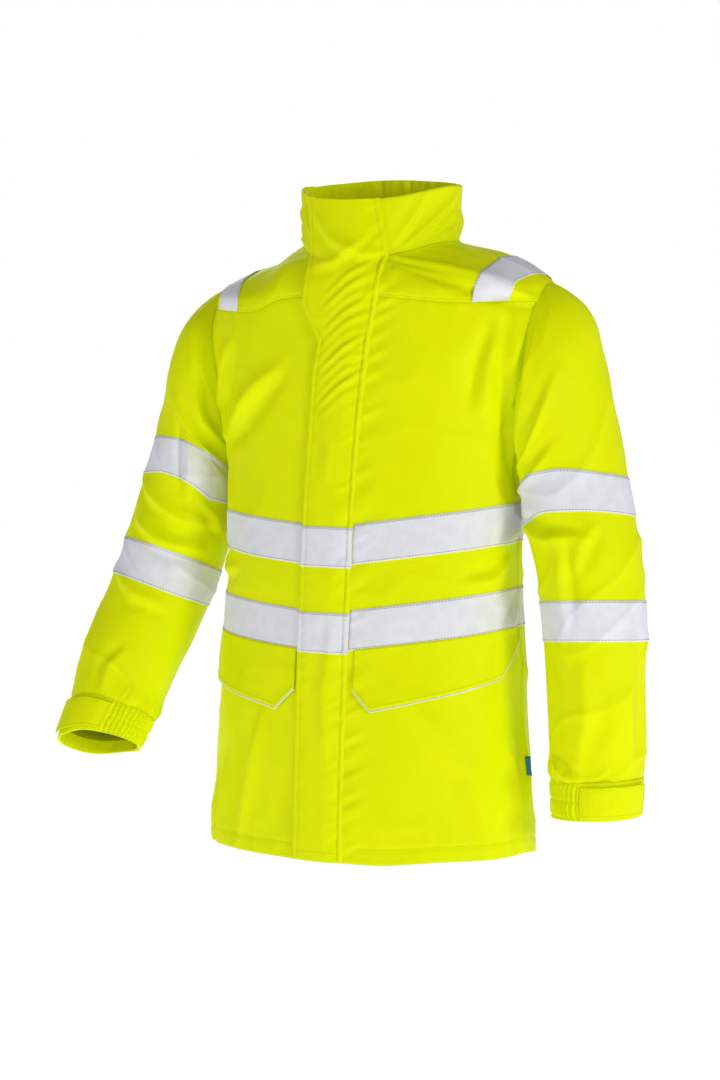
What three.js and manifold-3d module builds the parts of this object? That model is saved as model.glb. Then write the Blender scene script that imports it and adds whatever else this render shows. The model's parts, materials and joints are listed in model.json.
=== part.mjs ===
// Foul weather jacket: waterproof shell with a stand collar, a storm flap over the front zip,
// reflective tapes, flap pockets and adjustable cuffs. Millimetres, +Z up, the wearer's left
// on +X and the front on -Y. The origin is at the middle of the hanger loop.
import * as THREE from 'three';
import { mergeVertices } from 'three/addons/utils/BufferGeometryUtils.js';
import Module from 'manifold-3d';

const wasm = await Module();
wasm.setup();

// ---------------------------------------------------------------- driving dimensions
const hemToArmpit = 508;
const armholeHeight = 216;
const yokeSeamAboveArmpit = 196;
const neckSeamAboveArmpit = 236;
const collarHeight = 76;

const hemHalfWidth = 217;
const waistHalfWidth = 196;
const chestHalfWidth = 222;
const shoulderHalfWidth = 238;
const neckHalfWidth = 100;
const collarHalfWidth = 106;

const hemFrontDepth = 136;        // from the body's centre plane to the centre front
const collarFrontDepth = 60;
const frontBulge = 12;            // how far the centre front bows out of its own chord
const hemBackDepth = 140;
const chestBackDepth = 148;
const collarBackDepth = 116;
const shoulderSetBack = 38;       // the shoulders sit this far behind the hem's centre

const shellThickness = 2;
const liningThickness = 1;
const gap = 0.3;                  // clearance between pieces that touch
const layerGap = 0.65;            // clearance under a piece laid on another
const tapeThickness = 0.6;
const tapeWidth = 50;
const padThickness = 0.7;         // one side of a hook-and-loop closure

const upperTapeHeight = 390;      // tape centre lines above the hem at the centre front
const lowerTapeHeight = 284;
const tapeRiseLeft = 30;          // how far a tape climbs from the centre front to the side
const tapeRiseRight = 14;
const shoulderTapeInner = 165;    // inner edge of the tape over each shoulder, from the centre

const flapThickness = 1.8;
const flapRoom = 5.6;             // space under the storm flap over the zip
const flapEdgeRoom = 3.2;         // space under its free edge, for the hook-and-loop strips

const zipTapeHalfWidth = 22;
const zipTapeThickness = 1;
const chainHalfWidth = 3;
const chainThickness = 2.6;
const zipBottom = 17;             // lowest tooth above the hem
const sliderHeight = 785;         // middle of the slider when the zip is closed
const sliderLength = 14;

const pocketFlapThickness = 1.6;
const pocketPipingRadius = 1.2;
const pocketBagDepth = 165;

const armholeHalfDepth = 59;
const sleeveLength = 545;         // along the middle of the sleeve, armhole to wrist
const cuffHeight = 48;
const tabHeight = 38;
const tabThickness = 1.4;
const cuffThickness = 1.6;

const seamAngle = 96;             // side seam, degrees round from the centre front
const shoulderSeamAngle = 96;
const columnStep = 12;            // degrees between the body's facet lines
const rowStep = 47;

// ---------------------------------------------------------------- levels
const armpit = hemToArmpit;
const yokeSeam = armpit + yokeSeamAboveArmpit;
const neckSeam = armpit + neckSeamAboveArmpit;
const collarTop = neckSeam + collarHeight;
const shoulderPoint = armpit + armholeHeight;

// ---------------------------------------------------------------- the body's surface
// Each ring lies round the body. Its level is its height at the centre front; side and back are
// its heights there. Square 2 is an ellipse and larger values fill the corners out.
const mix = THREE.MathUtils.lerp;
const rings = [
  { level: 0, side: 0, back: 0, halfWidth: hemHalfWidth, backDepth: hemBackDepth,
    setBack: 0, square: 2.3 },
  { level: 0.256 * armpit, side: 0.256 * armpit, back: 0.256 * armpit,
    halfWidth: mix(waistHalfWidth, hemHalfWidth, 0.6), backDepth: hemBackDepth - 2,
    setBack: 0, square: 2.3 },
  { level: 0.512 * armpit, side: 0.512 * armpit, back: 0.512 * armpit,
    halfWidth: mix(waistHalfWidth, hemHalfWidth, 0.24), backDepth: hemBackDepth - 6,
    setBack: 2, square: 2.3 },
  { level: 0.728 * armpit, side: 0.728 * armpit, back: 0.728 * armpit,
    halfWidth: waistHalfWidth, backDepth: hemBackDepth - 6, setBack: 6, square: 2.3 },
  { level: 0.925 * armpit, side: 0.925 * armpit, back: 0.925 * armpit,
    halfWidth: waistHalfWidth + 2.5, backDepth: chestBackDepth - 8, setBack: 14, square: 2.3 },
  { level: armpit + 22, side: armpit + 23, back: armpit + 22,
    halfWidth: mix(waistHalfWidth, chestHalfWidth, 0.4), backDepth: chestBackDepth - 3,
    setBack: 20, square: 2.3 },
  { level: armpit + 72, side: armpit + 75, back: armpit + 72, halfWidth: chestHalfWidth,
    backDepth: chestBackDepth, setBack: 25, square: 2.3 },
  { level: yokeSeam - 64, side: shoulderPoint - 74, back: yokeSeam - 64,
    halfWidth: shoulderHalfWidth, backDepth: chestBackDepth - 1, setBack: 32, square: 2.35 },
  { level: yokeSeam, side: shoulderPoint - 6, back: yokeSeam - 4, halfWidth: shoulderHalfWidth - 8,
    backDepth: chestBackDepth - 12, setBack: shoulderSetBack, square: 2.4 },
  { level: neckSeam - 20, side: shoulderPoint + 28, back: neckSeam - 6,
    halfWidth: mix(neckHalfWidth, shoulderHalfWidth, 0.49), backDepth: chestBackDepth - 20,
    setBack: shoulderSetBack - 2, square: 2.2 },
  { level: neckSeam, side: neckSeam + 26, back: neckSeam + 32, halfWidth: neckHalfWidth,
    backDepth: collarBackDepth + 4, setBack: shoulderSetBack - 8, square: 2 },
  { level: neckSeam + 0.53 * collarHeight, side: neckSeam + 24 + 0.5 * collarHeight,
    back: neckSeam + 30 + 0.5 * collarHeight, halfWidth: mix(neckHalfWidth, collarHalfWidth, 0.5),
    backDepth: collarBackDepth + 2, setBack: shoulderSetBack - 9, square: 2 },
  { level: collarTop, side: collarTop + 16, back: collarTop + 26, halfWidth: collarHalfWidth,
    backDepth: collarBackDepth, setBack: shoulderSetBack - 10, square: 2 },
];

// A smooth curve through values at knots that never swings past them: the slope at each knot is
// the harmonic mean of its neighbours' slopes.
function smooth(knots, values, at) {
  const last = knots.length - 1;
  const rise = (i) => (values[i + 1] - values[i]) / (knots[i + 1] - knots[i]);
  const slope = (i) => {
    if (i === 0) return rise(0);
    if (i === last) return rise(last - 1);
    const before = rise(i - 1);
    const after = rise(i);
    return before * after > 0 ? (2 * before * after) / (before + after) : 0;
  };
  let i = 0;
  while (i < last - 1 && at >= knots[i + 1]) i++;
  const span = knots[i + 1] - knots[i];
  const t = (at - knots[i]) / span;
  const t2 = t * t;
  const t3 = t2 * t;
  return (2 * t3 - 3 * t2 + 1) * values[i] + (t3 - 2 * t2 + t) * span * slope(i)
    + (3 * t2 - 2 * t3) * values[i + 1] + (t3 - t2) * span * slope(i + 1);
}

// Straight lines through values at knots.
function straight(knots, values, at) {
  let i = 0;
  while (i < knots.length - 2 && at >= knots[i + 1]) i++;
  return mix(values[i], values[i + 1], (at - knots[i]) / (knots[i + 1] - knots[i]));
}

const ringLevels = rings.map((ring) => ring.level);
const ringFields = Object.fromEntries(Object.keys(rings[0]).map(
  (name) => [name, rings.map((ring) => ring[name])]));
const ringValue = (name, level) => smooth(ringLevels, ringFields[name], level);

function frontDepth(level) {
  const fromMiddle = (level - collarTop / 2) / (collarTop / 2);
  return mix(hemFrontDepth, collarFrontDepth, level / collarTop)
    + frontBulge * (1 - fromMiddle ** 2);
}

const radians = THREE.MathUtils.degToRad;
const degrees = THREE.MathUtils.radToDeg;

// A point of the outer cloth: angle in degrees from the centre front towards the wearer's left.
function bodyPoint(angle, level) {
  const sine = Math.sin(radians(angle));
  const cosine = Math.cos(radians(angle));
  const square = ringValue('square', level);
  const radius = (Math.abs(sine) ** square + Math.abs(cosine) ** square) ** (-1 / square);
  const setBack = ringValue('setBack', level);
  const depth = cosine > 0
    ? frontDepth(level) + setBack : ringValue('backDepth', level) - setBack;
  const side = ringValue('side', level);
  const far = cosine > 0 ? level : ringValue('back', level);
  return new THREE.Vector3(
    ringValue('halfWidth', level) * radius * sine,
    setBack - depth * radius * cosine,
    mix(side, far, cosine ** 2));
}

// The angle at which the body's front is x from the centre plane.
function angleAt(x, level) {
  const share = x / ringValue('halfWidth', level);
  const square = ringValue('square', level);
  return degrees(Math.atan2(share, (1 - Math.abs(share) ** square) ** (1 / square)));
}

// A surface moved out along its own normal.
function skinOf(point, stepU, stepV) {
  return (u, v, out) => {
    const alongU = point(u + stepU, v).sub(point(u - stepU, v));
    const alongV = point(u, v + stepV).sub(point(u, v - stepV));
    return point(u, v).addScaledVector(alongU.cross(alongV).normalize(), out);
  };
}
const bodySkin = skinOf(bodyPoint, 0.2, 0.5);

// ---------------------------------------------------------------- meshes and solids
function signedVolume(position, index) {
  const corner = (i) => new THREE.Vector3().fromBufferAttribute(position, i);
  let total = 0;
  for (let i = 0; i < index.length; i += 3) {
    total += corner(index[i]).dot(corner(index[i + 1]).cross(corner(index[i + 2])));
  }
  return total / 6;
}

// Merges shared corners, drops empty triangles and turns the faces outwards.
function closed(geometry) {
  geometry.deleteAttribute('normal');
  geometry.deleteAttribute('uv');
  const merged = mergeVertices(geometry, 1e-4);
  const from = merged.index.array;
  const index = [];
  for (let i = 0; i < from.length; i += 3) {
    const [a, b, c] = [from[i], from[i + 1], from[i + 2]];
    if (a !== b && b !== c && a !== c) index.push(a, b, c);
  }
  if (signedVolume(merged.attributes.position, index) < 0) index.reverse();
  merged.setIndex(index);
  return merged;
}

function solidOf(geometry) {
  return new wasm.Manifold(new wasm.Mesh({
    numProp: 3,
    vertProperties: Float32Array.from(geometry.attributes.position.array),
    triVerts: Uint32Array.from(geometry.index.array),
  }));
}

function geometryOf(solid) {
  const mesh = solid.getMesh();
  const geometry = new THREE.BufferGeometry();
  geometry.setAttribute('position', new THREE.BufferAttribute(mesh.vertProperties, 3));
  geometry.setIndex(new THREE.BufferAttribute(mesh.triVerts, 1));
  return geometry;
}

const cut = (geometry, tool) => geometryOf(solidOf(geometry).subtract(solidOf(tool)));
const keepInside = (geometry, tool) => geometryOf(solidOf(geometry).intersect(solidOf(tool)));

// A box bent onto a surface. columns and rows are lists of u and v; place turns them into the
// skin's own two numbers; inner and outer are offsets, or functions of u and v.
function sheet(columns, rows, place, inner, outer, skin = bodySkin) {
  const across = columns.length - 1;
  const up = rows.length - 1;
  const geometry = new THREE.BoxGeometry(1, 1, 1, across, up, 1);
  const position = geometry.attributes.position;
  for (let i = 0; i < position.count; i++) {
    const u = columns[Math.round((position.getX(i) + 0.5) * across)];
    const v = rows[Math.round((position.getY(i) + 0.5) * up)];
    const offset = position.getZ(i) > 0 ? outer : inner;
    const point = skin(...place(u, v), typeof offset === 'function' ? offset(u, v) : offset);
    position.setXYZ(i, point.x, point.y, point.z);
  }
  return closed(geometry);
}

// A closed profile of stations carried round a full turn; place gives each point.
function revolve(sectors, stations, place) {
  const profile = stations.map((station, i) => new THREE.Vector2(1, i));
  const geometry = new THREE.LatheGeometry(profile, sectors);
  const position = geometry.attributes.position;
  for (let i = 0; i <= sectors; i++) {
    stations.forEach((station, j) => {
      const point = place((360 * (i % sectors)) / sectors, station);
      position.setXYZ(i * stations.length + j, point.x, point.y, point.z);
    });
  }
  return closed(geometry);
}

// Evenly spaced numbers from first to last, no more than step apart.
function spaced(first, last, step) {
  const count = Math.max(1, Math.ceil(Math.abs(last - first) / step - 1e-6));
  return Array.from({ length: count + 1 }, (_, i) => mix(first, last, i / count));
}

// Columns from first to last that fall on the body's shared facet lines in between.
function columnsBetween(first, last, step = columnStep) {
  const inside = [];
  for (let a = Math.ceil(first / step) * step; a < last; a += step) {
    if (a > first + 1 && a < last - 1) inside.push(a);
  }
  return [first, ...inside, last];
}

// ---------------------------------------------------------------- sleeves
// Stations down each sleeve: a ring's outermost point as [out, back, up] from the armhole's top,
// its innermost point from the armhole's foot, and its half depth from front to back. The
// wearer's right sleeve is given as a left one and mirrored.
const shoulderX = shoulderHalfWidth - 12;
const plainSleeveLength = 545;    // the length that the stations below are drawn for
const lengthScale = sleeveLength / plainSleeveLength;

const sleeveStart = [
  { outer: [-76, -2, 0], inner: [-76, -2, 2], half: armholeHalfDepth },
  { outer: [0, 0, 0], inner: [-26, -6, 0], half: armholeHalfDepth + 1 },
  { outer: [36, -2, -18], inner: [-17, -10, -14], half: 70 },
  { outer: [61, -6, -60], inner: [-18, -13, -28], half: 76 },
];
const leftSleeve = {
  side: 1,
  stations: [...sleeveStart,
    { outer: [78, -8, -126], inner: [-19, -16, -46], half: 77 },
    { outer: [109, -16, -246], inner: [-17, -21, -78], half: 74 },
    { outer: [136, -32, -354], inner: [10, -34, -162], half: 68 },
    { outer: [147, -43, -458], inner: [24, -43, -258], half: 64 },
    { outer: [149, -48, -563], inner: [31, -48, -353], half: 60 },
    { outer: [145, -50, -658], inner: [36, -50, -446], half: 56 }],
  split: 158,                     // where the sleeve's head ends, along the sleeve
  tapes: [165, 321],              // where each tape starts, along the sleeve
  cuffTurn: 0,
};
const rightSleeve = {
  side: -1,
  stations: [...sleeveStart,
    { outer: [81, -10, -128], inner: [-18, -18, -46], half: 77 },
    { outer: [96, -28, -224], inner: [-17, -26, -74], half: 75 },
    { outer: [129, -53, -352], inner: [6, -48, -186], half: 68 },
    { outer: [157, -98, -478], inner: [39, -94, -302], half: 62 },
    { outer: [176, -146, -602], inner: [66, -142, -386], half: 55 }],
  split: 136,
  tapes: [143, 280],
  cuffTurn: -30,
};

function prepareSleeve(sleeve) {
  const points = sleeve.stations.map(({ outer, inner, half }) => {
    const place = ([out, back, up], height) => new THREE.Vector3(
      shoulderX + out, shoulderSetBack + back, height + up * lengthScale);
    return { outer: place(outer, shoulderPoint), inner: place(inner, armpit), half };
  });
  const middle = points.map(({ outer, inner }) => outer.clone().add(inner).multiplyScalar(0.5));
  const along = [-middle[0].distanceTo(middle[1])];
  for (let i = 1; i < middle.length; i++) {
    along.push(i === 1 ? 0 : along[i - 1] + middle[i].distanceTo(middle[i - 1]));
  }
  const values = points.map(({ outer, inner, half }) => [...outer, ...inner, half]);
  const value = (i, at) => smooth(along, values.map((row) => row[i]), at);
  const ends = (at) => [new THREE.Vector3(value(0, at), value(1, at), value(2, at)),
    new THREE.Vector3(value(3, at), value(4, at), value(5, at))];
  const centre = (at) => {
    const [outer, inner] = ends(at);
    return outer.add(inner).multiplyScalar(0.5);
  };
  const point = (angle, at) => {
    const [outer, inner] = ends(at);
    const reach = outer.clone().sub(inner).multiplyScalar(0.5);
    const down = centre(at + 1).sub(centre(at - 1));
    const depth = reach.clone().cross(down).normalize().multiplyScalar(value(6, at));
    return centre(at).addScaledVector(reach, Math.cos(radians(angle)))
      .addScaledVector(depth, Math.sin(radians(angle)));
  };
  const leftSkin = skinOf((at, angle) => point(angle, at), 0.5, 0.5);
  sleeve.skin = (angle, at, out) => {
    const p = leftSkin(at, angle, out);
    p.x *= sleeve.side;
    return p;
  };
  sleeve.top = along[0];
  sleeve.wrist = along.at(-1);
}
prepareSleeve(leftSleeve);
prepareSleeve(rightSleeve);

const sleeveSectors = 20;
const sleeveColumn = 360 / sleeveSectors;

// Rows from the first to the last of some stops, through each stop, no more than step apart.
const rowsThrough = (stops, step) => [stops[0],
  ...stops.slice(1).flatMap((stop, i) => spaced(stops[i], stop, step).slice(1))];

// Rows of sleeve as an open tube of the given wall.
function sleeveTube(sleeve, rows, inner, outer) {
  const stations = [...rows.map((at) => ({ at, out: outer })),
    ...rows.toReversed().map((at) => ({ at, out: inner })), { at: rows[0], out: outer }];
  return revolve(sleeveSectors, stations, (angle, { at, out }) => sleeve.skin(angle, at, out));
}

// A length of sleeve as a solid plug, to cut an armhole.
function sleevePlug(sleeve, from, to, out) {
  const rows = spaced(from, to, 34);
  const middle = (at) => sleeve.skin(0, at, 0).add(sleeve.skin(180, at, 0)).multiplyScalar(0.5);
  const stations = [{ end: middle(from) }, ...rows.map((at) => ({ at })), { end: middle(to) }];
  return revolve(sleeveSectors, stations,
    (angle, { at, end }) => end ?? sleeve.skin(angle, at, out));
}

// ---------------------------------------------------------------- named lines on the body
const yokeLevel = (angle) => {
  const turned = Math.abs(THREE.MathUtils.euclideanModulo(angle + 180, 360) - 180);
  const dip = 14;
  if (turned < 45) return yokeSeam - dip * Math.sin(radians(2 * turned)) ** 2;
  const back = Math.max(0, -Math.cos(radians(turned)));
  return yokeSeam - dip - 36 * back ** 2;
};
const seamLine = (level) => smooth([0, 0.92 * armpit, yokeSeam - 64, yokeSeam - 4, neckSeam,
  collarTop], [28, 31, 40, 48, 52, 39], level);
const freeLine = (level) => straight([0, 0.92 * armpit, yokeSeam - 100, yokeSeam - 59,
  yokeSeam - 12, neckSeam, collarTop], [-41, -40, -37, -31, -58, -55, -65], level);

function tapeLevel(height, angle) {
  const turned = THREE.MathUtils.euclideanModulo(angle + 180, 360) - 180;
  const share = Math.sin(radians(Math.min(Math.abs(turned), 90)));
  if (Math.abs(turned) <= 90) return height + share * (turned > 0 ? tapeRiseLeft : tapeRiseRight);
  const round = (THREE.MathUtils.euclideanModulo(angle, 360) - 90) / 180;
  return height + mix(tapeRiseLeft, tapeRiseRight, round);
}

// ---------------------------------------------------------------- the group and its finishes
const jacket = new THREE.Group();
const finish = (color, roughness, metalness = 0) => ({ color, roughness, metalness });
const finishes = {
  shell: finish('#d8e800', 0.7),
  tape: finish('#d4d6dc', 0.4),
  lining: finish('#c9d400', 0.8),
  piping: finish('#e3e5e8', 0.4),
  pads: finish('#a9b400', 0.9),
  zip: finish('#3a3d40', 0.5),
  zipTape: finish('#b9c400', 0.8),
  elastic: finish('#cddb00', 0.8),
  label: finish('#4f6f8a', 0.7),
  webbing: finish('#2f3234', 0.8),
};

function add(name, geometry, slot) {
  const { color, roughness, metalness } = finishes[slot];
  const material = new THREE.MeshStandardMaterial({ color, roughness, metalness });
  const mesh = new THREE.Mesh(geometry, material);
  mesh.name = name;
  jacket.add(mesh);
}

// ---------------------------------------------------------------- shell panels
const seamHalfGap = degrees(gap / 2 / waistHalfWidth);
const zipEdge = 3;                // the front panels stop this many degrees from the centre
const panelRows = [...spaced(0, armpit, rowStep), ...spaced(armpit, yokeSeam, 33).slice(1)]
  .map((level) => level / yokeSeam);
const yokeRows = spaced(0, 1, 1 / 6);
const armholeTools = [leftSleeve, rightSleeve].map(
  (sleeve) => sleevePlug(sleeve, sleeve.top, 62, gap));
const cutArmholes = (geometry) => armholeTools.reduce(cut, geometry);

const panelPlace = (angle, v) => [angle, v * (yokeLevel(angle) - gap / 2)];
const yokePlace = (angle, v) => [angle, mix(yokeLevel(angle) + gap / 2, neckSeam - gap / 2, v)];
const turnedColumns = (side, first, last) => {
  const columns = columnsBetween(first, last);
  return side > 0 ? columns : columns.map((a) => -a).reverse();
};
const panelPiece = (columns) => cutArmholes(
  sheet(columns, panelRows, panelPlace, -shellThickness, 0));
const yokePiece = (columns) => cutArmholes(
  sheet(columns, yokeRows, yokePlace, -shellThickness, 0));

add('front_panel_left',
  panelPiece(turnedColumns(1, zipEdge, seamAngle - seamHalfGap)), 'shell');
add('front_panel_right',
  panelPiece(turnedColumns(-1, zipEdge, seamAngle - seamHalfGap)), 'shell');
add('back_panel',
  panelPiece(columnsBetween(seamAngle + seamHalfGap, 360 - seamAngle - seamHalfGap)), 'shell');

const yokeEdge = 4;
add('yoke_front_left',
  yokePiece(turnedColumns(1, yokeEdge, shoulderSeamAngle - seamHalfGap)), 'shell');
add('yoke_front_right',
  yokePiece(turnedColumns(-1, yokeEdge, shoulderSeamAngle - seamHalfGap)), 'shell');
add('yoke_back', yokePiece(columnsBetween(shoulderSeamAngle + seamHalfGap,
  360 - shoulderSeamAngle - seamHalfGap)), 'shell');

// ---------------------------------------------------------------- collar
const collarEdge = 6;
const collarColumns = columnsBetween(collarEdge, 360 - collarEdge);
const collarRows = spaced(neckSeam + gap / 2, collarTop, collarHeight / 3);
const same = (u, v) => [u, v];
const collarLiningOuter = -shellThickness - layerGap;
add('collar_outer', sheet(collarColumns, collarRows, same, -shellThickness, 0), 'shell');
const facingX = zipTapeHalfWidth + 3;    // linings stop this far from the centre, past the zip
const facingEdge = angleAt(facingX, neckSeam);
add('collar_lining', sheet(columnsBetween(facingEdge, 360 - facingEdge), collarRows, same,
  collarLiningOuter - shellThickness, collarLiningOuter), 'shell');

// ---------------------------------------------------------------- lining and pocket bags
const bagThickness = 1.3;
const bagOuter = -shellThickness - gap;
const liningOuter = bagOuter - bagThickness - 2 * layerGap;
const liningHem = 25;
const liningRows = [...spaced(liningHem, armpit, 81), ...spaced(armpit, yokeSeam, 33).slice(1),
  ...spaced(yokeSeam, neckSeam - 4, 9).slice(1)];
const liningColumns = [-1, ...spaced(2 * columnStep, 360 - 2 * columnStep, 2 * columnStep), 361];
function liningPlace(angle, level) {
  const edge = angleAt(facingX, level);
  return [THREE.MathUtils.clamp(angle, edge, 360 - edge), level];
}
// It hangs clear of the pocket bags and comes up to the shell where it is sewn in at the neck.
const liningOut = (angle, level) => straight([0, yokeSeam, neckSeam - 4],
  [liningOuter, liningOuter, -shellThickness - layerGap - gap], level);
add('body_lining', cutArmholes(sheet(liningColumns, liningRows, liningPlace,
  (angle, level) => liningOut(angle, level) - liningThickness, liningOut)), 'lining');

const bagTop = lowerTapeHeight - tapeWidth / 2 - 32;
const bagRows = spaced(bagTop - pocketBagDepth, bagTop, rowStep);
const bagColumns = columnsBetween(2 * columnStep, 5 * columnStep);

// ---------------------------------------------------------------- sleeves and cuffs
const bodyCore = revolve(720 / columnStep, [
  { end: new THREE.Vector3(0, 0, 0) },
  ...panelRows.map((v) => ({ v, place: panelPlace })),
  ...yokeRows.map((v) => ({ v, place: yokePlace })),
  { end: new THREE.Vector3(0, shoulderSetBack, neckSeam + 26) },
], (angle, { v, place, end }) => end ?? bodySkin(...place(angle, v), layerGap));

const tapeInner = layerGap;
const tapeOuter = layerGap + tapeThickness;

function buildSleeve(name, sleeve) {
  const { skin, stations, split, tapes, wrist, top, cuffTurn } = sleeve;
  const cuffTop = wrist - cuffHeight;
  const headRows = [top, 0, ...spaced(0, split, 28).slice(1)];
  add(`sleeve_head_${name}`,
    cut(sleeveTube(sleeve, headRows, -shellThickness, 0), bodyCore), 'shell');
  const tapeRowsAt = tapes.map((start) => spaced(start, start + tapeWidth, tapeWidth / 2));
  const stops = [split + layerGap, ...tapeRowsAt.flat(), cuffTop - gap];
  add(`sleeve_${name}`, sleeveTube(sleeve, rowsThrough(stops, 60), -shellThickness, 0), 'shell');
  tapeRowsAt.forEach((rows, i) => add(`sleeve_tape_${['upper', 'lower'][i]}_${name}`,
    sleeveTube(sleeve, rows, tapeInner, tapeOuter), 'tape'));

  // Angles round the cuff: 0 outermost, 90 back, 180 innermost, 270 front.
  const elasticFrom = 150;
  const elasticTo = 270;
  const turn = (angles) => angles.map((a) => a + cuffTurn);
  const slit = degrees(gap / 2 / stations.at(-1).half);
  const cuffRows = [cuffTop, cuffTop + cuffHeight / 2, wrist];
  const stepped = (first, last) => spaced(first, last, sleeveColumn);
  add(`cuff_band_${name}`, sheet(turn(stepped(elasticTo + slit - 360, elasticFrom - slit)),
    cuffRows, same, -cuffThickness, 0, skin), 'shell');
  add(`cuff_elastic_${name}`, sheet(turn(stepped(elasticFrom + slit, elasticTo - slit)),
    cuffRows, same, -cuffThickness, 0, skin), 'elastic');

  const tabFrom = elasticTo - 360 + 1;
  const tabTo = tabFrom + 92;
  const tabSewn = 12;             // degrees of the tab stitched down at its front end
  const padMargin = 5;
  const tabMargin = (cuffHeight - tabHeight) / 2;
  const tabRows = [cuffTop + tabMargin, cuffTop + cuffHeight / 2, wrist - tabMargin];
  const padRows = [tabRows[0] + padMargin, tabRows[1], tabRows[2] - padMargin];
  const loopOut = [gap, gap + padThickness];
  const hookOut = [loopOut[1] + gap, loopOut[1] + gap + padThickness];
  const tabInner = hookOut[1] + gap;
  const tabBottom = (angle) => (angle < tabFrom + cuffTurn + tabSewn ? layerGap : tabInner);
  const fine = (first, last) => spaced(first, last, sleeveColumn / 2);
  add(`cuff_tab_${name}`, sheet(turn(fine(tabFrom, tabTo)), tabRows, same, tabBottom,
    (angle) => tabBottom(angle) + tabThickness, skin), 'shell');
  add(`cuff_loop_${name}`, sheet(turn(fine(tabFrom + 26, tabTo - 4)), padRows, same,
    loopOut[0], loopOut[1], skin), 'pads');
  add(`cuff_hook_${name}`, sheet(turn(fine(tabTo - 38, tabTo - 4)), padRows, same,
    hookOut[0], hookOut[1], skin), 'pads');
}
buildSleeve('left', leftSleeve);
buildSleeve('right', rightSleeve);

// ---------------------------------------------------------------- reflective body tapes
const tapeRows = [-tapeWidth / 2, 0, tapeWidth / 2];
const flapClear = 1.5;

function bodyTape(name, height) {
  const place = (angle, v) => [angle, tapeLevel(height, angle) + v];
  const leftEdge = angleAt(seamLine(height) + flapClear, height);
  const rightEdge = angleAt(freeLine(height) + 3, height);
  const side = seamAngle - seamHalfGap;
  add(`body_tape_${name}_left`,
    sheet(columnsBetween(leftEdge, side), tapeRows, place, tapeInner, tapeOuter), 'tape');
  add(`body_tape_${name}_right`,
    sheet(columnsBetween(-side, rightEdge), tapeRows, place, tapeInner, tapeOuter), 'tape');
  add(`body_tape_${name}_back`, sheet(
    columnsBetween(seamAngle + seamHalfGap, 360 - seamAngle - seamHalfGap),
    tapeRows, place, tapeInner, tapeOuter), 'tape');
}
bodyTape('upper', upperTapeHeight);
bodyTape('lower', lowerTapeHeight);

// Each is made over the other shoulder and mirrored, which lines its facets up with the yoke's.
for (const [name, side] of [['left', 1], ['right', -1]]) {
  const columns = columnsBetween(2 * columnStep, 13 * columnStep);
  const band = new THREE.BoxGeometry(tapeWidth, 500, 400);
  band.translate(-side * (shoulderTapeInner + tapeWidth / 2), shoulderSetBack, shoulderPoint);
  const whole = sheet(side > 0 ? columns.map((a) => -a).reverse() : columns, yokeRows, yokePlace,
    tapeInner, tapeOuter);
  add(`shoulder_tape_${name}`,
    closed(keepInside(whole, closed(band)).scale(-1, 1, 1)), 'tape');
}

// ---------------------------------------------------------------- zip
const chainInner = -shellThickness - layerGap - zipTapeThickness / 2 - chainThickness / 2;
const chainOuter = chainInner + chainThickness;
const zipTapeOuter = -shellThickness - layerGap;
const zipTop = sliderHeight + sliderLength / 2;
const zipRows = (first, last) => spaced(first, last, 40);
const xPlace = (x, level) => [angleAt(x, level), level];
const ordered = (side, near, far) => (side > 0 ? [near, far] : [-far, -near]);

for (const [name, side] of [['left', 1], ['right', -1]]) {
  add(`zip_tape_${name}`, sheet(ordered(side, chainHalfWidth + gap, zipTapeHalfWidth),
    zipRows(zipBottom, zipTop), xPlace, zipTapeOuter - zipTapeThickness, zipTapeOuter), 'zipTape');
  add(`zip_chain_${name}`, sheet(ordered(side, gap / 2, chainHalfWidth),
    zipRows(zipBottom, zipTop - 2), xPlace, chainInner, chainOuter), 'zip');
}
const sliderHalf = 5.2;
const sliderPlate = 1.3;
const sliderRows = [sliderHeight - sliderLength / 2, sliderHeight, sliderHeight + sliderLength / 2];
add('zip_slider_front', sheet([-sliderHalf, 0, sliderHalf], sliderRows, xPlace,
  chainOuter + gap, chainOuter + gap + sliderPlate), 'zip');
add('zip_slider_back', sheet([-sliderHalf, 0, sliderHalf], sliderRows, xPlace,
  chainInner - gap - sliderPlate, chainInner - gap), 'zip');
const pullInner = chainOuter + gap + sliderPlate + gap;
add('zip_pull', sheet([-4, 4], spaced(sliderHeight - 34, sliderHeight + 2, 18), xPlace,
  pullInner, pullInner + 1.4), 'zip');
add('zip_retainer_box', sheet([-5, 0, 5], [zipBottom - 12, zipBottom - gap], xPlace,
  chainInner - 0.5, chainOuter + 0.5), 'zip');

// ---------------------------------------------------------------- storm flap and its closure
const flapLevels = [...spaced(0, yokeSeam - 100, 61), yokeSeam - 80, yokeSeam - 59,
  yokeSeam - 35, yokeSeam - 12, yokeSeam + 12, neckSeam, neckSeam + collarHeight / 3,
  neckSeam + (2 * collarHeight) / 3, collarTop];
const flapColumns = [0, 0.16, 0.33, 0.5, 0.66, 0.83, 1];
const flapX = (u, level) => mix(freeLine(level), seamLine(level), u);
const flapPlace = (u, level) => xPlace(flapX(u, level), level);
const flapSeamRoom = (level) => straight([0, yokeSeam, neckSeam - 10, collarTop],
  [0.8, 1, 3, 1.4], level);
const flapUnder = (u, level) => smooth([0, 0.33, 0.66, 0.83, 1],
  [flapEdgeRoom, flapRoom - 0.4, flapRoom, 3.4, flapSeamRoom(level)], u);
const flapOver = (u, level) => flapUnder(u, level) + flapThickness;
add('storm_flap', sheet(flapColumns, flapLevels, flapPlace, flapUnder, flapOver), 'shell');

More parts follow.
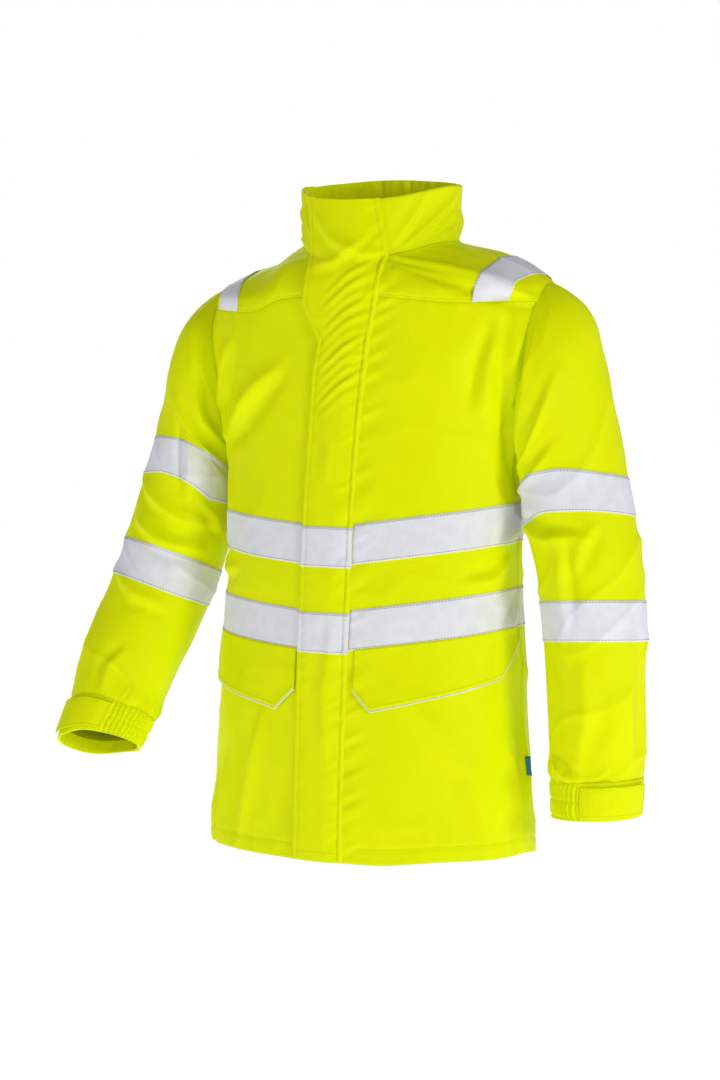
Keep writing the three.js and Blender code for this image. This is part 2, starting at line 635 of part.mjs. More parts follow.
for (const [name, height] of [['upper', upperTapeHeight], ['lower', lowerTapeHeight]]) {
  const place = (u, v) => flapPlace(u, tapeLevel(height, 0) + v);
  add(`flap_tape_${name}`, sheet(flapColumns, tapeRows, place,
    (u) => flapOver(u, height) + gap, (u) => flapOver(u, height) + gap + tapeThickness), 'tape');
}
const stripFrom = -36;
const stripTo = -20;
const stripRows = spaced(30, yokeSeam - 110, 46);
const onFlap = (x, level) => (x - freeLine(level)) / (seamLine(level) - freeLine(level));
add('storm_flap_loop', sheet([stripFrom, stripTo], stripRows, xPlace,
  layerGap, layerGap + padThickness), 'pads');
add('storm_flap_hook', sheet([stripFrom, stripTo], stripRows, xPlace,
  (x, level) => flapUnder(onFlap(x, level), level) - gap - padThickness,
  (x, level) => flapUnder(onFlap(x, level), level) - gap), 'pads');

// ---------------------------------------------------------------- pockets
const pocketFrom = 10.5;          // degrees round from the centre front
const pocketTo = 84;
const pocketCorners = [17, 68];   // where the flap's lower edge turns
const pocketRightStart = pocketFrom + 2.5;    // clear of the storm flap's free edge
const pocketDrop = (turned) => straight(
  [pocketFrom, ...pocketCorners, pocketTo], [58, 85, 64, 20], turned);
const pocketTop = (angle) => tapeLevel(lowerTapeHeight, angle) - tapeWidth / 2 - 1.5;
const pocketBottom = (angle) => pocketTop(angle) - pocketDrop(Math.abs(angle));
const pocketPad = [gap + 0.1, gap + 0.1 + padThickness];
const pocketHook = [pocketPad[1] + gap, pocketPad[1] + gap + padThickness];
const pocketUnder = (angle, v) => mix(pocketHook[1] + gap, layerGap, Math.max(0, v * 2 - 1));

for (const [name, side] of [['left', 1], ['right', -1]]) {
  const inner = side > 0 ? pocketFrom : pocketRightStart;
  const columns = [side * pocketCorners[0], ...turnedColumns(side, inner, pocketTo)]
    .sort((a, b) => a - b);
  const place = (angle, v) => [angle, mix(pocketBottom(angle), pocketTop(angle), v)];
  add(`pocket_flap_${name}`, sheet(columns, [0, 0.5, 1], place, pocketUnder,
    (angle, v) => pocketUnder(angle, v) + pocketFlapThickness), 'shell');

  const edge = rowsThrough([inner, ...pocketCorners, pocketTo], 3).map((turned) => {
    const angle = side * turned;
    return bodySkin(angle, pocketBottom(angle), pocketHook[1] + gap + pocketFlapThickness / 2);
  });
  const outward = new THREE.Vector3();
  const shifted = edge.map((point, i) => {
    const before = edge[Math.max(0, i - 1)];
    const after = edge[Math.min(edge.length - 1, i + 1)];
    const run = after.clone().sub(before).multiplyScalar(side);
    outward.set(point.x, point.y * 2, 0);
    return point.clone().addScaledVector(
      run.cross(outward).normalize(), pocketPipingRadius + gap + 0.7);
  });
  const rim = new THREE.Shape().absarc(0, 0, pocketPipingRadius, 0, 2 * Math.PI);
  add(`pocket_piping_${name}`, closed(new THREE.ExtrudeGeometry(rim, {
    steps: 24, curveSegments: 3, extrudePath: new THREE.CatmullRomCurve3(shifted),
  })), 'piping');

  const padLow = (angle) => pocketBottom(angle) + 12;
  const padColumns = turnedColumns(side, 3 * columnStep, 4 * columnStep);
  const padPlace = (angle, v) => [angle, padLow(angle) + v];
  add(`pocket_loop_${name}`,
    sheet(padColumns, [0, 22], padPlace, pocketPad[0], pocketPad[1]), 'pads');
  add(`pocket_hook_${name}`,
    sheet(padColumns, [0, 22], padPlace, pocketHook[0], pocketHook[1]), 'pads');
  add(`pocket_bag_${name}`, sheet(side > 0 ? bagColumns : bagColumns.map((a) => -a).reverse(),
    bagRows, same, bagOuter - bagThickness, bagOuter), 'lining');
}

// ---------------------------------------------------------------- label and hanger loop
add('side_label', sheet([seamAngle - 2.5, seamAngle + 1.5], [99, 124], same,
  gap, gap + 0.8), 'label');

const loopHalfWidth = 32;
const loopLevel = neckSeam + 8;
const loopSink = 1.3;               // from the lining's inner face to the webbing's middle
const loopInset = collarLiningOuter - shellThickness - loopSink;
const loopEnd = (side) => bodySkin(180 - side * degrees(loopHalfWidth / collarBackDepth),
  loopLevel, loopInset);
const loopMiddle = bodySkin(180, loopLevel, loopInset - 9);
const webbing = new THREE.Shape();
webbing.moveTo(-3, -0.6).lineTo(3, -0.6).lineTo(3, 0.6).lineTo(-3, 0.6).closePath();
add('hanger_loop', closed(new THREE.ExtrudeGeometry(webbing, {
  steps: 8,
  extrudePath: new THREE.CatmullRomCurve3([loopEnd(1), loopMiddle, loopEnd(-1)]),
})), 'webbing');

jacket.position.copy(loopMiddle).negate();
jacket.updateMatrixWorld(true);

export default jacket;
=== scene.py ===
"""Foul weather jacket: its cloth, tapes, stitching and closures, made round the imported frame.

Shapes are worked out in millimetres in the hem frame: hem at z = 0, zip at x = 0, front towards
-y, the wearer's left on +x. to_row() turns them into the frame's metres.
"""
import json
import math

import bmesh
import bpy
import numpy as np
from mathutils import Matrix, Vector


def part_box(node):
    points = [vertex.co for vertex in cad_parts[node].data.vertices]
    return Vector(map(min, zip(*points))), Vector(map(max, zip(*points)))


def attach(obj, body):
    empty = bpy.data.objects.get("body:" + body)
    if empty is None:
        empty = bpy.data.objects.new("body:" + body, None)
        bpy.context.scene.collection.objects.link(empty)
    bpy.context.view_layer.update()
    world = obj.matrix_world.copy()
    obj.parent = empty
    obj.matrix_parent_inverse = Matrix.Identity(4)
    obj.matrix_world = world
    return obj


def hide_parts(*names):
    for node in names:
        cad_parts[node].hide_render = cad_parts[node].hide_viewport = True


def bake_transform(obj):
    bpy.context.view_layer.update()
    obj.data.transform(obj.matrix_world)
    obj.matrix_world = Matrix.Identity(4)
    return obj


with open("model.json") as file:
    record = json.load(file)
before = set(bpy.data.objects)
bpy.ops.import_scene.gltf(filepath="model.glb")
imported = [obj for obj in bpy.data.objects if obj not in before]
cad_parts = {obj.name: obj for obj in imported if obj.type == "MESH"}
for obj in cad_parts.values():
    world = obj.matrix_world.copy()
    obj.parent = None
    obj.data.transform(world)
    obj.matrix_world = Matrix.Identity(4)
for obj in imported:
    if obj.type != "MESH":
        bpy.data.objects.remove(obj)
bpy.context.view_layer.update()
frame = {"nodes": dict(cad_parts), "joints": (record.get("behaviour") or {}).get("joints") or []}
random = np.random.default_rng(11)

# ------------------------------------------------------------------ the frame's own places
MM = 0.001
JOINTS = {joint["name"]: joint for joint in frame["joints"]}
SHOULDER = np.array((215.0, 38.0, 690.0))      # the left sleeve's pivot in the hem frame
HEM_ORIGIN = np.array(JOINTS["sleeve_left_raise"]["pos_m"]) / MM - SHOULDER


def to_row(points):
    return (np.asarray(points, float) + HEM_ORIGIN) * MM


def placed(points):
    """Cloth points in the frame, with how the jacket sits: the wearer's right shoulder and cuff
    lower, the left side of the hem and the back of the collar higher."""
    points = np.asarray(points, float)
    x, y, z = np.moveaxis(points, -1, 0)
    rise = 8 * step(60, 170, x) * step(240, 0, z) * step(60, -20, y) * step(250, 225, x)
    rise = rise + (3 + 3 * step(40, -60, x)) * step(775, 822, z) * step(-45, 20, y)
    rise = rise - 16 * step(92, 140, -x) * step(640, 715, z)
    rise = rise - 7 * step(185, 240, x) * step(655, 720, z)
    rise = rise - 9 * step(330, 395, -x) * step(360, 160, z)
    return to_row(points + rise[..., None] * (0, 0, 1))


# ------------------------------------------------------------------ driving dimensions
ARMPIT = 508.0
YOKE_SEAM = ARMPIT + 196
NECK_SEAM = ARMPIT + 236
COLLAR_TOP = NECK_SEAM + 76
SHOULDER_POINT = ARMPIT + 216
TAPE_WIDTH = 50.0
UPPER_TAPE = 390.0
LOWER_TAPE = 284.0
SIDES = (("left", 1), ("right", -1))
SEAM_ANGLE = 96.0              # side and shoulder seams, degrees round from the centre front
CUFF_HEIGHT = 48.0
PER_DEGREE = 3.2               # arc length of one degree round the body, for folds and noise
HEM_STITCH = 19.0
SHOULDER_TAPE_MIDDLE = 184.0   # from the centre plane to the tape's middle at both its ends
PUCKERS_PER_TURN = 54          # of the cuffs' elastic, if it went all the way round

# ------------------------------------------------------------------ camera
CAMERA_AZIMUTH, CAMERA_ELEVATION = 27.0, 4.5
CAMERA_DISTANCE = 3600.0
CAMERA_AIM = (0.0, 0.0, 430.0)
FOCAL, SENSOR = 94.2, 36.0     # millimetres, and the sensor's height
CAMERA_SHIFT = (-12 / 1080, -31 / 1080)        # in frame heights
AMBIENT = 0.30                 # strength of the light from all round


def direction(azimuth, elevation):
    """From the jacket towards something seen at that azimuth and elevation, in degrees."""
    a, e = math.radians(azimuth), math.radians(elevation)
    return np.array((math.sin(a) * math.cos(e), -math.cos(a) * math.cos(e), math.sin(e)))


def in_scene(name, data):
    made = bpy.data.objects.new(name, data)
    bpy.context.scene.collection.objects.link(made)
    return made


def make_camera():
    data = bpy.data.cameras.new("camera")
    data.lens = FOCAL
    data.sensor_width = SENSOR
    data.shift_x, data.shift_y = CAMERA_SHIFT
    data.clip_end = 50
    camera = in_scene("camera", data)
    back = direction(CAMERA_AZIMUTH, CAMERA_ELEVATION)
    camera.location = to_row(np.array(CAMERA_AIM) + back * CAMERA_DISTANCE)
    camera.rotation_euler = Vector(-back).to_track_quat("-Z", "Y").to_euler()
    bpy.context.scene.camera = camera


make_camera()


# ------------------------------------------------------------------ curves through values
def smooth(knots, values, at):
    """A smooth curve through values at knots that never swings past them."""
    knots, values, at = (np.asarray(x, float) for x in (knots, values, at))
    rise = np.diff(values) / np.diff(knots)
    before, after = rise[:-1], rise[1:]
    same_way = before * after > 0
    middle = np.where(same_way, 2 * before * after / np.where(same_way, before + after, 1), 0)
    slope = np.concatenate([rise[:1], middle, rise[-1:]])
    i = np.clip(np.searchsorted(knots, at, side="right") - 1, 0, len(knots) - 2)
    span = knots[i + 1] - knots[i]
    t = (at - knots[i]) / span
    return ((2 * t**3 - 3 * t**2 + 1) * values[i] + (t**3 - 2 * t**2 + t) * span * slope[i]
            + (3 * t**2 - 2 * t**3) * values[i + 1] + (t**3 - t**2) * span * slope[i + 1])


def straight(knots, values, at):
    return np.interp(at, knots, values)


def mix(a, b, share):
    return a + (b - a) * share


def step(low, high, at):
    """0 at low, 1 at high, held beyond both, and a soft step between."""
    t = np.clip((at - low) / (high - low), 0, 1)
    return t * t * (3 - 2 * t)


def bump(at, width):
    return np.exp(-(at / width) ** 2)


# ------------------------------------------------------------------ the body's surface
RINGS = np.array([
    # level, side, back, half width, back depth, set back, squareness
    (0, 0, 0, 217, 140, 0, 2.3),
    (130, 130, 130, 208.6, 138, 0, 2.3),
    (260, 260, 260, 201, 134, 2, 2.3),
    (370, 370, 370, 196, 134, 6, 2.3),
    (470, 470, 470, 198.5, 140, 14, 2.3),
    (530, 531, 530, 206.4, 145, 20, 2.3),
    (580, 583, 580, 222, 148, 25, 2.3),
    (640, 650, 640, 238, 147, 32, 2.35),
    (YOKE_SEAM, 718, 700, 230, 136, 38, 2.4),
    (724, 752, 738, 167.6, 128, 36, 2.2),
    (NECK_SEAM, 770, 776, 100, 120, 30, 2),
    (784, 806, 812, 103, 118, 29, 2),
    (COLLAR_TOP, 836, 846, 106, 116, 28, 2),
])


def ring_value(column, level):
    return smooth(RINGS[:, 0], RINGS[:, column], level)


def front_depth(level):
    from_middle = (level - COLLAR_TOP / 2) / (COLLAR_TOP / 2)
    return mix(136, 60, level / COLLAR_TOP) + 12 * (1 - from_middle**2)


def body_point(angle, level):
    angle, level = np.broadcast_arrays(np.asarray(angle, float), np.asarray(level, float))
    sine, cosine = np.sin(np.radians(angle)), np.cos(np.radians(angle))
    square = ring_value(6, level)
    radius = (np.abs(sine) ** square + np.abs(cosine) ** square) ** (-1 / square)
    set_back = ring_value(5, level)
    depth = np.where(cosine > 0, front_depth(level) + set_back, ring_value(4, level) - set_back)
    far = np.where(cosine > 0, level, ring_value(2, level))
    return np.stack([
        ring_value(3, level) * radius * sine,
        set_back - depth * radius * cosine,
        mix(ring_value(1, level), far, cosine**2)], -1)


def half_turn(angle):
    """An angle in degrees, brought to between -180 and 180."""
    return (np.asarray(angle) + 180) % 360 - 180


def angle_at(x, level):
    """The angle at which the front is x from the centre plane."""
    share = np.asarray(x) / ring_value(3, level)
    square = ring_value(6, level)
    return np.degrees(np.arctan2(share, (1 - np.abs(share) ** square) ** (1 / square)))


def normals(point, u, v, step_u, step_v):
    along_u = point(u + step_u, v) - point(u - step_u, v)
    along_v = point(u, v + step_v) - point(u, v - step_v)
    normal = np.cross(along_u, along_v)
    return normal / np.linalg.norm(normal, axis=-1, keepdims=True)


def body_skin(angle, level, out):
    return body_point(angle, level) + normals(body_point, angle, level, 0.3, 0.7) * \
        np.asarray(out)[..., None]


def body_share(points):
    """How far out each point is, as a share of the body's surface on its ray: under 1 inside."""
    low, high = np.full(points.shape[:-1], -30.0), np.full(points.shape[:-1], 830.0)
    for _ in range(24):
        level = (low + high) / 2
        across = points[..., 0] / ring_value(3, level)
        behind = ring_value(5, level) - points[..., 1]
        depth = np.where(behind > 0, front_depth(level) + ring_value(5, level),
                         ring_value(4, level) - ring_value(5, level))
        cosine = np.cos(np.arctan2(across, behind / depth))
        far = np.where(cosine > 0, level, ring_value(2, level))
        too_high = mix(ring_value(1, level), far, cosine**2) > points[..., 2]
        low, high = np.where(too_high, low, level), np.where(too_high, level, high)
    square = ring_value(6, level)
    return (np.abs(across) ** square + np.abs(behind / depth) ** square) ** (1 / square)


# ------------------------------------------------------------------ named lines on the body
def turned(angle):
    return np.abs(half_turn(angle))


def yoke_level(angle):
    t = turned(angle)
    back = np.maximum(0, -np.cos(np.radians(t)))
    return YOKE_SEAM - 14 * np.where(t < 45, np.sin(np.radians(2 * t)) ** 2, 1) - 36 * back**2


def seam_line(level):
    """Where the storm flap is sewn on, from the centre plane."""
    return smooth([0, 467, 640, 700, NECK_SEAM, COLLAR_TOP], [28, 31, 40, 48, 52, 39], level)


FREE_LEVELS = [0, 467, 604, 645, 692, NECK_SEAM, COLLAR_TOP]


def free_line(level):
    """The storm flap's free edge."""
    return straight(FREE_LEVELS, [-41, -40, -37, -31, -58, -55, -65], level)


def tape_level(height, angle):
    """Where a body tape's middle is: it drops towards the front, less on the right."""
    from_front = half_turn(angle)
    share = np.sin(np.radians(np.minimum(np.abs(from_front), 90)))
    round_back = (np.asarray(angle) % 360 - 90) / 180
    return height + np.where(np.abs(from_front) <= 90,
                             share * np.where(from_front > 0, 30, 14),
                             mix(30, 14, round_back))


# ------------------------------------------------------------------ folds
NOISE = random.random((64, 64)) * 2 - 1


def noise(x, y):
    """Soft random waves from -1 to 1, one lattice step long."""
    i, j = np.floor(x).astype(int), np.floor(y).astype(int)
    f, g = x - i, y - j
    f, g = f * f * (3 - 2 * f), g * g * (3 - 2 * g)
    low = mix(NOISE[i % 64, j % 64], NOISE[(i + 1) % 64, j % 64], f)
    high = mix(NOISE[i % 64, (j + 1) % 64], NOISE[(i + 1) % 64, (j + 1) % 64], f)
    return mix(low, high, g)


FOLD_DEPTH = 1.9


def ridges(x, y):
    """Fine random creases, 0 to 1, where soft waves cross."""
    return (1 - np.abs(noise(x, y))) ** 7


def crease(x, y, path, width, height, valley=0.6):
    """A fold along a path of points: a ridge with a valley on its right, fading at both ends."""
    path = np.asarray(path, float)
    lengths = np.hypot(*np.diff(path, axis=0).T)
    total, run = lengths.sum(), 0.0
    nearest = np.full(np.shape(x), 1e9)
    side = np.zeros(np.shape(x))
    along = np.zeros(np.shape(x))
    for (ax, ay), (bx, by), length in zip(path[:-1], path[1:], lengths):
        dx, dy = (bx - ax) / length, (by - ay) / length
        t = np.clip((x - ax) * dx + (y - ay) * dy, 0, length)
        away = np.hypot(x - ax - t * dx, y - ay - t * dy)
        closer = away < nearest
        nearest = np.where(closer, away, nearest)
        side = np.where(closer, np.sign((x - ax) * dy - (y - ay) * dx), side)
        along = np.where(closer, (run + t) / total, along)
        run += length
    signed = nearest * side
    fade = np.sin(np.pi * np.clip(along * 0.96 + 0.02, 0, 1)) ** 0.7
    grown = width * (0.6 + 0.5 * fade)
    crisp = np.exp(-np.abs(signed / grown) ** 1.5)
    return FOLD_DEPTH * height * fade * (crisp - valley * bump(signed - 1.5 * grown, grown))


def with_folds(relief, x, y, folds):
    for fold in folds:
        relief = relief + crease(x, y, *fold)
    return relief


# Folds of the body: points as (millimetres round from the centre front, level), then width,
# height and how deep the valley beside the ridge is.
BODY_FOLDS = [
    # drape from the left collar base and shoulder, under the tape
    ([(105, 742), (140, 722), (185, 700), (235, 690)], 8, 3.6, 0.9),
    ([(100, 728), (135, 712), (172, 698)], 6, 2.6, 0.9),
    # from the left armhole into the chest
    ([(160, 655), (157, 610), (172, 560)], 11, 4.6, 0.8),
    ([(186, 672), (190, 620), (212, 575), (228, 540)], 10, 4.6, 0.8),
    ([(252, 650), (236, 596), (232, 540), (262, 486)], 9, 5.0, 0.9),
    ([(282, 600), (266, 548), (278, 500), (300, 455)], 9, 4.4, 0.8),
    ([(150, 655), (145, 620), (150, 560)], 7, -2.6, 0.3),
    # from the right armpit
    ([(-195, 522), (-150, 545), (-105, 585), (-70, 612)], 11, 4.8, 0.8),
    ([(-215, 560), (-180, 590), (-140, 640)], 10, 4.0, 0.8),
    ([(-235, 640), (-222, 590), (-205, 520), (-210, 470)], 9, 4.4, 0.9),
    ([(-200, 500), (-188, 440), (-196, 380)], 11, 3.4, 0.7),
    # the skirt
    ([(-86, 178), (-100, 100), (-116, 6)], 11, 4.8, 0.8),
    ([(-150, 120), (-160, 60), (-166, 2)], 9, 3.2, 0.8),
    ([(-182, 90), (-190, 40), (-192, 2)], 8, 3.0, 0.8),
    ([(120, 190), (170, 110), (196, 4)], 14, 3.4, 0.7),
    ([(236, 150), (262, 90), (276, 4)], 13, 4.6, 0.7),
    ([(296, 190), (300, 110), (292, 10)], 12, 3.4, 0.6),
    ([(-290, 430), (-262, 395), (-215, 385)], 9, 3.0, 0.7),
    ([(300, 440), (272, 410), (230, 392)], 9, 3.6, 0.8),
    ([(262, 378), (220, 352), (170, 350)], 8, 3.0, 0.8),
    ([(-240, 372), (-200, 350), (-150, 356)], 8, 3.0, 0.8),
    ([(304, 330), (280, 300), (245, 282)], 8, 2.6, 0.7),
    # across the back
    ([(420, 640), (500, 612), (576, 640)], 12, 3.6, 0.7),
    ([(356, 560), (420, 520), (500, 500), (560, 505)], 13, 4.0, 0.7),
    ([(-360, 560), (-420, 516), (-480, 500)], 13, 4.0, 0.7),
    ([(360, 420), (430, 380), (500, 372)], 14, 3.4, 0.6),
    ([(470, 300), (462, 180), (470, 20)], 18, 4.2, 0.6),
    ([(-400, 330), (-410, 200), (-396, 20)], 18, 4.2, 0.6),
    ([(560, 240), (566, 120), (560, 10)], 16, 3.4, 0.6),
]


def body_relief(angle, level):
    """How far the folds move the body's cloth out from its plain surface."""
    angle, level = np.broadcast_arrays(np.asarray(angle, float), np.asarray(level, float))
    from_front = half_turn(angle)
    x = from_front * PER_DEGREE
    relief = 2.2 * noise(x / 85 + 9, level / 130) + 1.1 * noise(x / 38, level / 60 + 5)
    relief = relief + 0.3 * noise(x / 17 + 3, level / 23)
    sides = 0.35 + 0.65 * step(150, 270, np.abs(x))
    relief = relief + 2.4 * sides * ridges(x / 62 + level / 150, level / 95 + 2)
    relief = with_folds(relief, x, level, BODY_FOLDS)
    for seam in (-SEAM_ANGLE, SEAM_ANGLE):
        away = (from_front - seam) * PER_DEGREE
        relief = relief - 1.6 * bump(away, 2.4)
        relief = relief + 0.9 * noise(level / 8 + seam, away / 40) * bump(away, 15)
    above = level - yoke_level(angle)
    relief = relief - 1.3 * bump(above, 2.0) + 0.8 * noise(x / 8, above / 40) * bump(above, 11)
    beside = body_point(angle, level)[..., 0] - seam_line(level)
    slant = level - 0.5 * beside
    relief = relief + 2.0 * noise(slant / 8 + 13, level / 90) * bump(beside - 8, 15)
    for height in (UPPER_TAPE, LOWER_TAPE):
        edge = np.abs(level - tape_level(height, angle)) - TAPE_WIDTH / 2
        relief = relief + 0.6 * noise(x / 9 + height, level / 30) * bump(edge, 8)
    hem = level - HEM_STITCH
    relief = relief + 1.0 * noise(x / 9 + 5, level / 26) * bump(hem, 16)
    return relief - 1.1 * bump(hem, 1.8)


# ------------------------------------------------------------------ sleeves
class Sleeve:
    """A sleeve as rings from inside the armhole to the wrist, with folds of its own."""

    START = [((-76, -2, 0), (-76, -2, 2), 59), ((0, 0, 0), (-26, -6, 0), 60),
             ((36, -2, -18), (-17, -10, -14), 70), ((61, -6, -60), (-18, -13, -28), 76)]

    def __init__(self, name, side, stations, tapes, cuff_turn, folds):
        self.name, self.side, self.tapes, self.cuff_turn, self.folds = \
            name, side, tapes, cuff_turn, folds
        rows = self.START + stations
        self.outer = np.array([row[0] for row in rows]) + (226, 38, SHOULDER_POINT)
        self.inner = np.array([row[1] for row in rows]) + (226, 38, ARMPIT)
        self.half = np.array([row[2] for row in rows], float)
        middle = (self.outer + self.inner) / 2
        gaps = np.linalg.norm(np.diff(middle, axis=0), axis=1)
        self.along = np.concatenate([[-gaps[0], 0], np.cumsum(gaps[1:])])
        self.top, self.wrist = self.along[0], self.along[-1]
        self.cuff_top = self.wrist - CUFF_HEIGHT

    def ends(self, at):
        return [np.stack([smooth(self.along, rows[:, i], at) for i in range(3)], -1)
                for rows in (self.outer, self.inner)]

    def axes(self, at):
        """Centre, half reach outwards, half depth backwards."""
        outer, inner = self.ends(at)
        ahead, behind = (sum(self.ends(at + d)) / 2 for d in (1, -1))
        reach = (outer - inner) / 2
        depth = np.cross(reach, ahead - behind)
        depth *= smooth(self.along, self.half, at)[..., None] / \
            np.linalg.norm(depth, axis=-1, keepdims=True)
        return (outer + inner) / 2, reach, depth

    def point(self, at, angle):
        at, angle = np.broadcast_arrays(np.asarray(at, float), np.asarray(angle, float))
        centre, reach, depth = self.axes(at)
        turn = np.radians(angle)[..., None]
        return centre + reach * np.cos(turn) + depth * np.sin(turn)

    def skin(self, angle, at, out):
        """angle: 0 outermost, 90 back, 180 innermost, 270 front."""
        p = self.point(at, angle) + normals(self.point, at, angle, 0.7, 0.7) * \
            np.asarray(out)[..., None]
        return p * (self.side, 1, 1)

    def seam(self, angle):
        """How far along the sleeve its cloth comes out of the body, at each angle."""
        tries = np.linspace(self.top, 66, 180)
        a, t = np.meshgrid(angle, tries)
        inside = body_share(self.point(t, a)) < 1
        last = inside.shape[0] - 1 - np.argmax(inside[::-1], axis=0)
        found = tries[np.minimum(last + 1, len(tries) - 1)]
        return smooth_round(found)

    def share(self, points):
        """How far out of the sleeve's middle each point is: under 1 inside the upper sleeve."""
        points = points * (self.side, 1, 1)
        best = np.full(points.shape[:-1], 1e9)
        share = np.full(points.shape[:-1], 9.0)
        for at in np.linspace(self.top, 70, 45):
            centre, reach, depth = self.axes(np.array(at))
            away = points - centre
            down = np.cross(reach, depth)
            off = np.abs(away @ down) / np.linalg.norm(down)
            here = np.hypot(away @ reach / (reach @ reach), away @ depth / (depth @ depth))
            share = np.where(off < best, here, share)
            best = np.minimum(best, off)
        return np.where(best < 6, share, 9.0)

    def relief(self, angle, at):
        angle, at = np.broadcast_arrays(np.asarray(angle, float), np.asarray(at, float))
        x = half_turn(angle) * 1.15
        wave = np.cos(np.radians(angle)) * 40, np.sin(np.radians(angle)) * 40
        relief = 1.5 * noise(wave[0] / 34 + 7 * self.side, at / 90 + wave[1] / 34)
        relief = relief + 0.6 * noise(x / 30 + 2, at / 34 + 7) * step(0, 40, 200 - abs(x))
        relief = relief + 2.2 * ridges(wave[0] / 40 + at / 90 + 3, at / 70 + wave[1] / 45 + 6)
        relief = with_folds(relief, x, at, self.folds)
        gathered = gathered_share(angle - self.cuff_turn)
        near_cuff = step(self.cuff_top - 46, self.cuff_top - 4, at)
        relief = relief + gathered * near_cuff * (
            3.0 * bump(at - self.cuff_top + 16, 14) + 1.5 * gathers(angle, at))
        return relief - 1.6 * bump(at - self.cuff_top, 3.0)


def smooth_round(values):
    """Evens out a ring of values without losing its shape."""
    for _ in range(6):
        values = (np.roll(values, 1) + 2 * values + np.roll(values, -1)) / 4
    return values


ELASTIC_FROM, ELASTIC_TO = 150.0, 270.0


def gathered_share(angle):
    """1 over the elastic part of the cuff and 0 elsewhere."""
    angle = np.asarray(angle) % 360
    return step(ELASTIC_FROM - 6, ELASTIC_FROM + 6, angle) * \
        (1 - step(ELASTIC_TO - 6, ELASTIC_TO + 6, angle))


def gathers(angle, at):
    """Narrow puckers along the sleeve, -1 to 1, about 7 mm apart."""
    wander = 5 * noise(np.asarray(at) / 16, np.asarray(angle) / 25)
    return np.sin(np.radians(np.asarray(angle) * PUCKERS_PER_TURN) + wander * 0.5)


# Folds of the sleeves: points as (millimetres round from the outermost line, millimetres down
# the sleeve), negative at the front.
LEFT_SLEEVE_FOLDS = [
    ([(-170, 60), (-120, 44), (-70, 20)], 9, 3.2, 0.8),
    ([(-176, 92), (-128, 96), (-72, 70)], 10, 3.4, 0.8),
    ([(-182, 128), (-140, 140), (-90, 128)], 9, 2.6, 0.7),
    ([(-176, 205), (-128, 236), (-84, 240)], 9, 4.6, 1.0),
    ([(-108, 244), (-117, 290), (-112, 338)], 8, 4.0, 0.9),
    ([(-60, 228), (-84, 252), (-96, 280)], 8, 2.8, 0.8),
    ([(-29, 350), (-34, 430), (-26, 512)], 13, 3.6, 0.7),
    ([(-96, 380), (-90, 440), (-104, 500)], 12, 2.8, 0.6),
    ([(-150, 498), (-126, 520), (-100, 524)], 6, 2.6, 0.8),
    ([(-60, 508), (-72, 520), (-90, 526)], 5, 2.0, 0.8),
    ([(60, 120), (96, 160), (150, 180)], 12, 3.4, 0.7),
    ([(30, 240), (90, 262), (160, 250)], 12, 4.0, 0.8),
    ([(40, 300), (92, 310), (150, 334)], 11, 3.4, 0.8),
    ([(70, 400), (84, 460), (80, 520)], 12, 3.0, 0.7),
]
RIGHT_SLEEVE_FOLDS = [
    ([(-178, 40), (-130, 60), (-84, 40)], 10, 3.6, 0.8),
    ([(-182, 78), (-136, 98), (-90, 90)], 9, 3.6, 0.8),
    ([(-110, 108), (-122, 150), (-134, 196)], 8, 4.4, 1.0),
    ([(-34, 196), (-80, 214), (-128, 226), (-180, 214)], 10, 4.6, 0.9),
    ([(-60, 250), (-110, 262), (-176, 250)], 10, 4.0, 0.8),
    ([(-150, 190), (-176, 206), (-192, 222)], 7, 3.4, 0.9),
    ([(-50, 330), (-96, 350), (-150, 346)], 10, 2.8, 0.7),
    ([(-30, 370), (-44, 430), (-40, 484)], 12, 2.8, 0.6),
    ([(-120, 420), (-108, 452), (-112, 486)], 8, 2.6, 0.8),
    ([(50, 100), (96, 130), (150, 140)], 12, 3.2, 0.7),
    ([(20, 206), (84, 226), (156, 214)], 12, 4.0, 0.8),
    ([(34, 262), (90, 280), (150, 306)], 11, 3.4, 0.8),
    ([(60, 360), (80, 420), (76, 480)], 12, 2.8, 0.7),
]
SLEEVES = {
    "left": Sleeve("left", 1, [
        ((78, -8, -126), (-19, -16, -46), 77), ((109, -16, -246), (-17, -21, -78), 74),
        ((136, -32, -354), (10, -34, -162), 68), ((147, -43, -458), (24, -43, -258), 64),
        ((149, -48, -563), (31, -48, -353), 60), ((145, -50, -658), (36, -50, -446), 56)],
        ((165, -13, 21), (321, -10, 6)), 0.0, LEFT_SLEEVE_FOLDS),
    "right": Sleeve("right", -1, [
        ((81, -10, -128), (-18, -18, -46), 77), ((96, -28, -224), (-17, -26, -74), 75),
        ((129, -53, -352), (6, -48, -186), 68), ((157, -98, -478), (39, -94, -302), 62),
        ((176, -146, -602), (66, -142, -386), 55)],
        ((143, -13, 26), (280, -3, 8)), -30.0, RIGHT_SLEEVE_FOLDS),
}

# ------------------------------------------------------------------ what each piece rides on
SLEEVE_PLANE = np.array((0.993, 0, -0.12))     # square to the armhole seam, pointing outwards


def sleeve_bend(side):
    across = SLEEVE_PLANE * (side, 1, 1)
    start = np.array((226 * side, 38, SHOULDER_POINT)) + 8 * across
    return start, start + 95 * across


def hinge_place(joint):
    return (np.array(JOINTS[joint]["pos_m"]) / MM - HEM_ORIGIN,
            np.array(JOINTS[joint]["axis"], float))


def flap_bend():
    place, axis = hinge_place("storm_flap_open")
    across = np.cross(axis, (0, 1, 0))
    across *= -np.sign(across[0]) / np.linalg.norm(across)
    return place + 10 * across, place + 26 * across


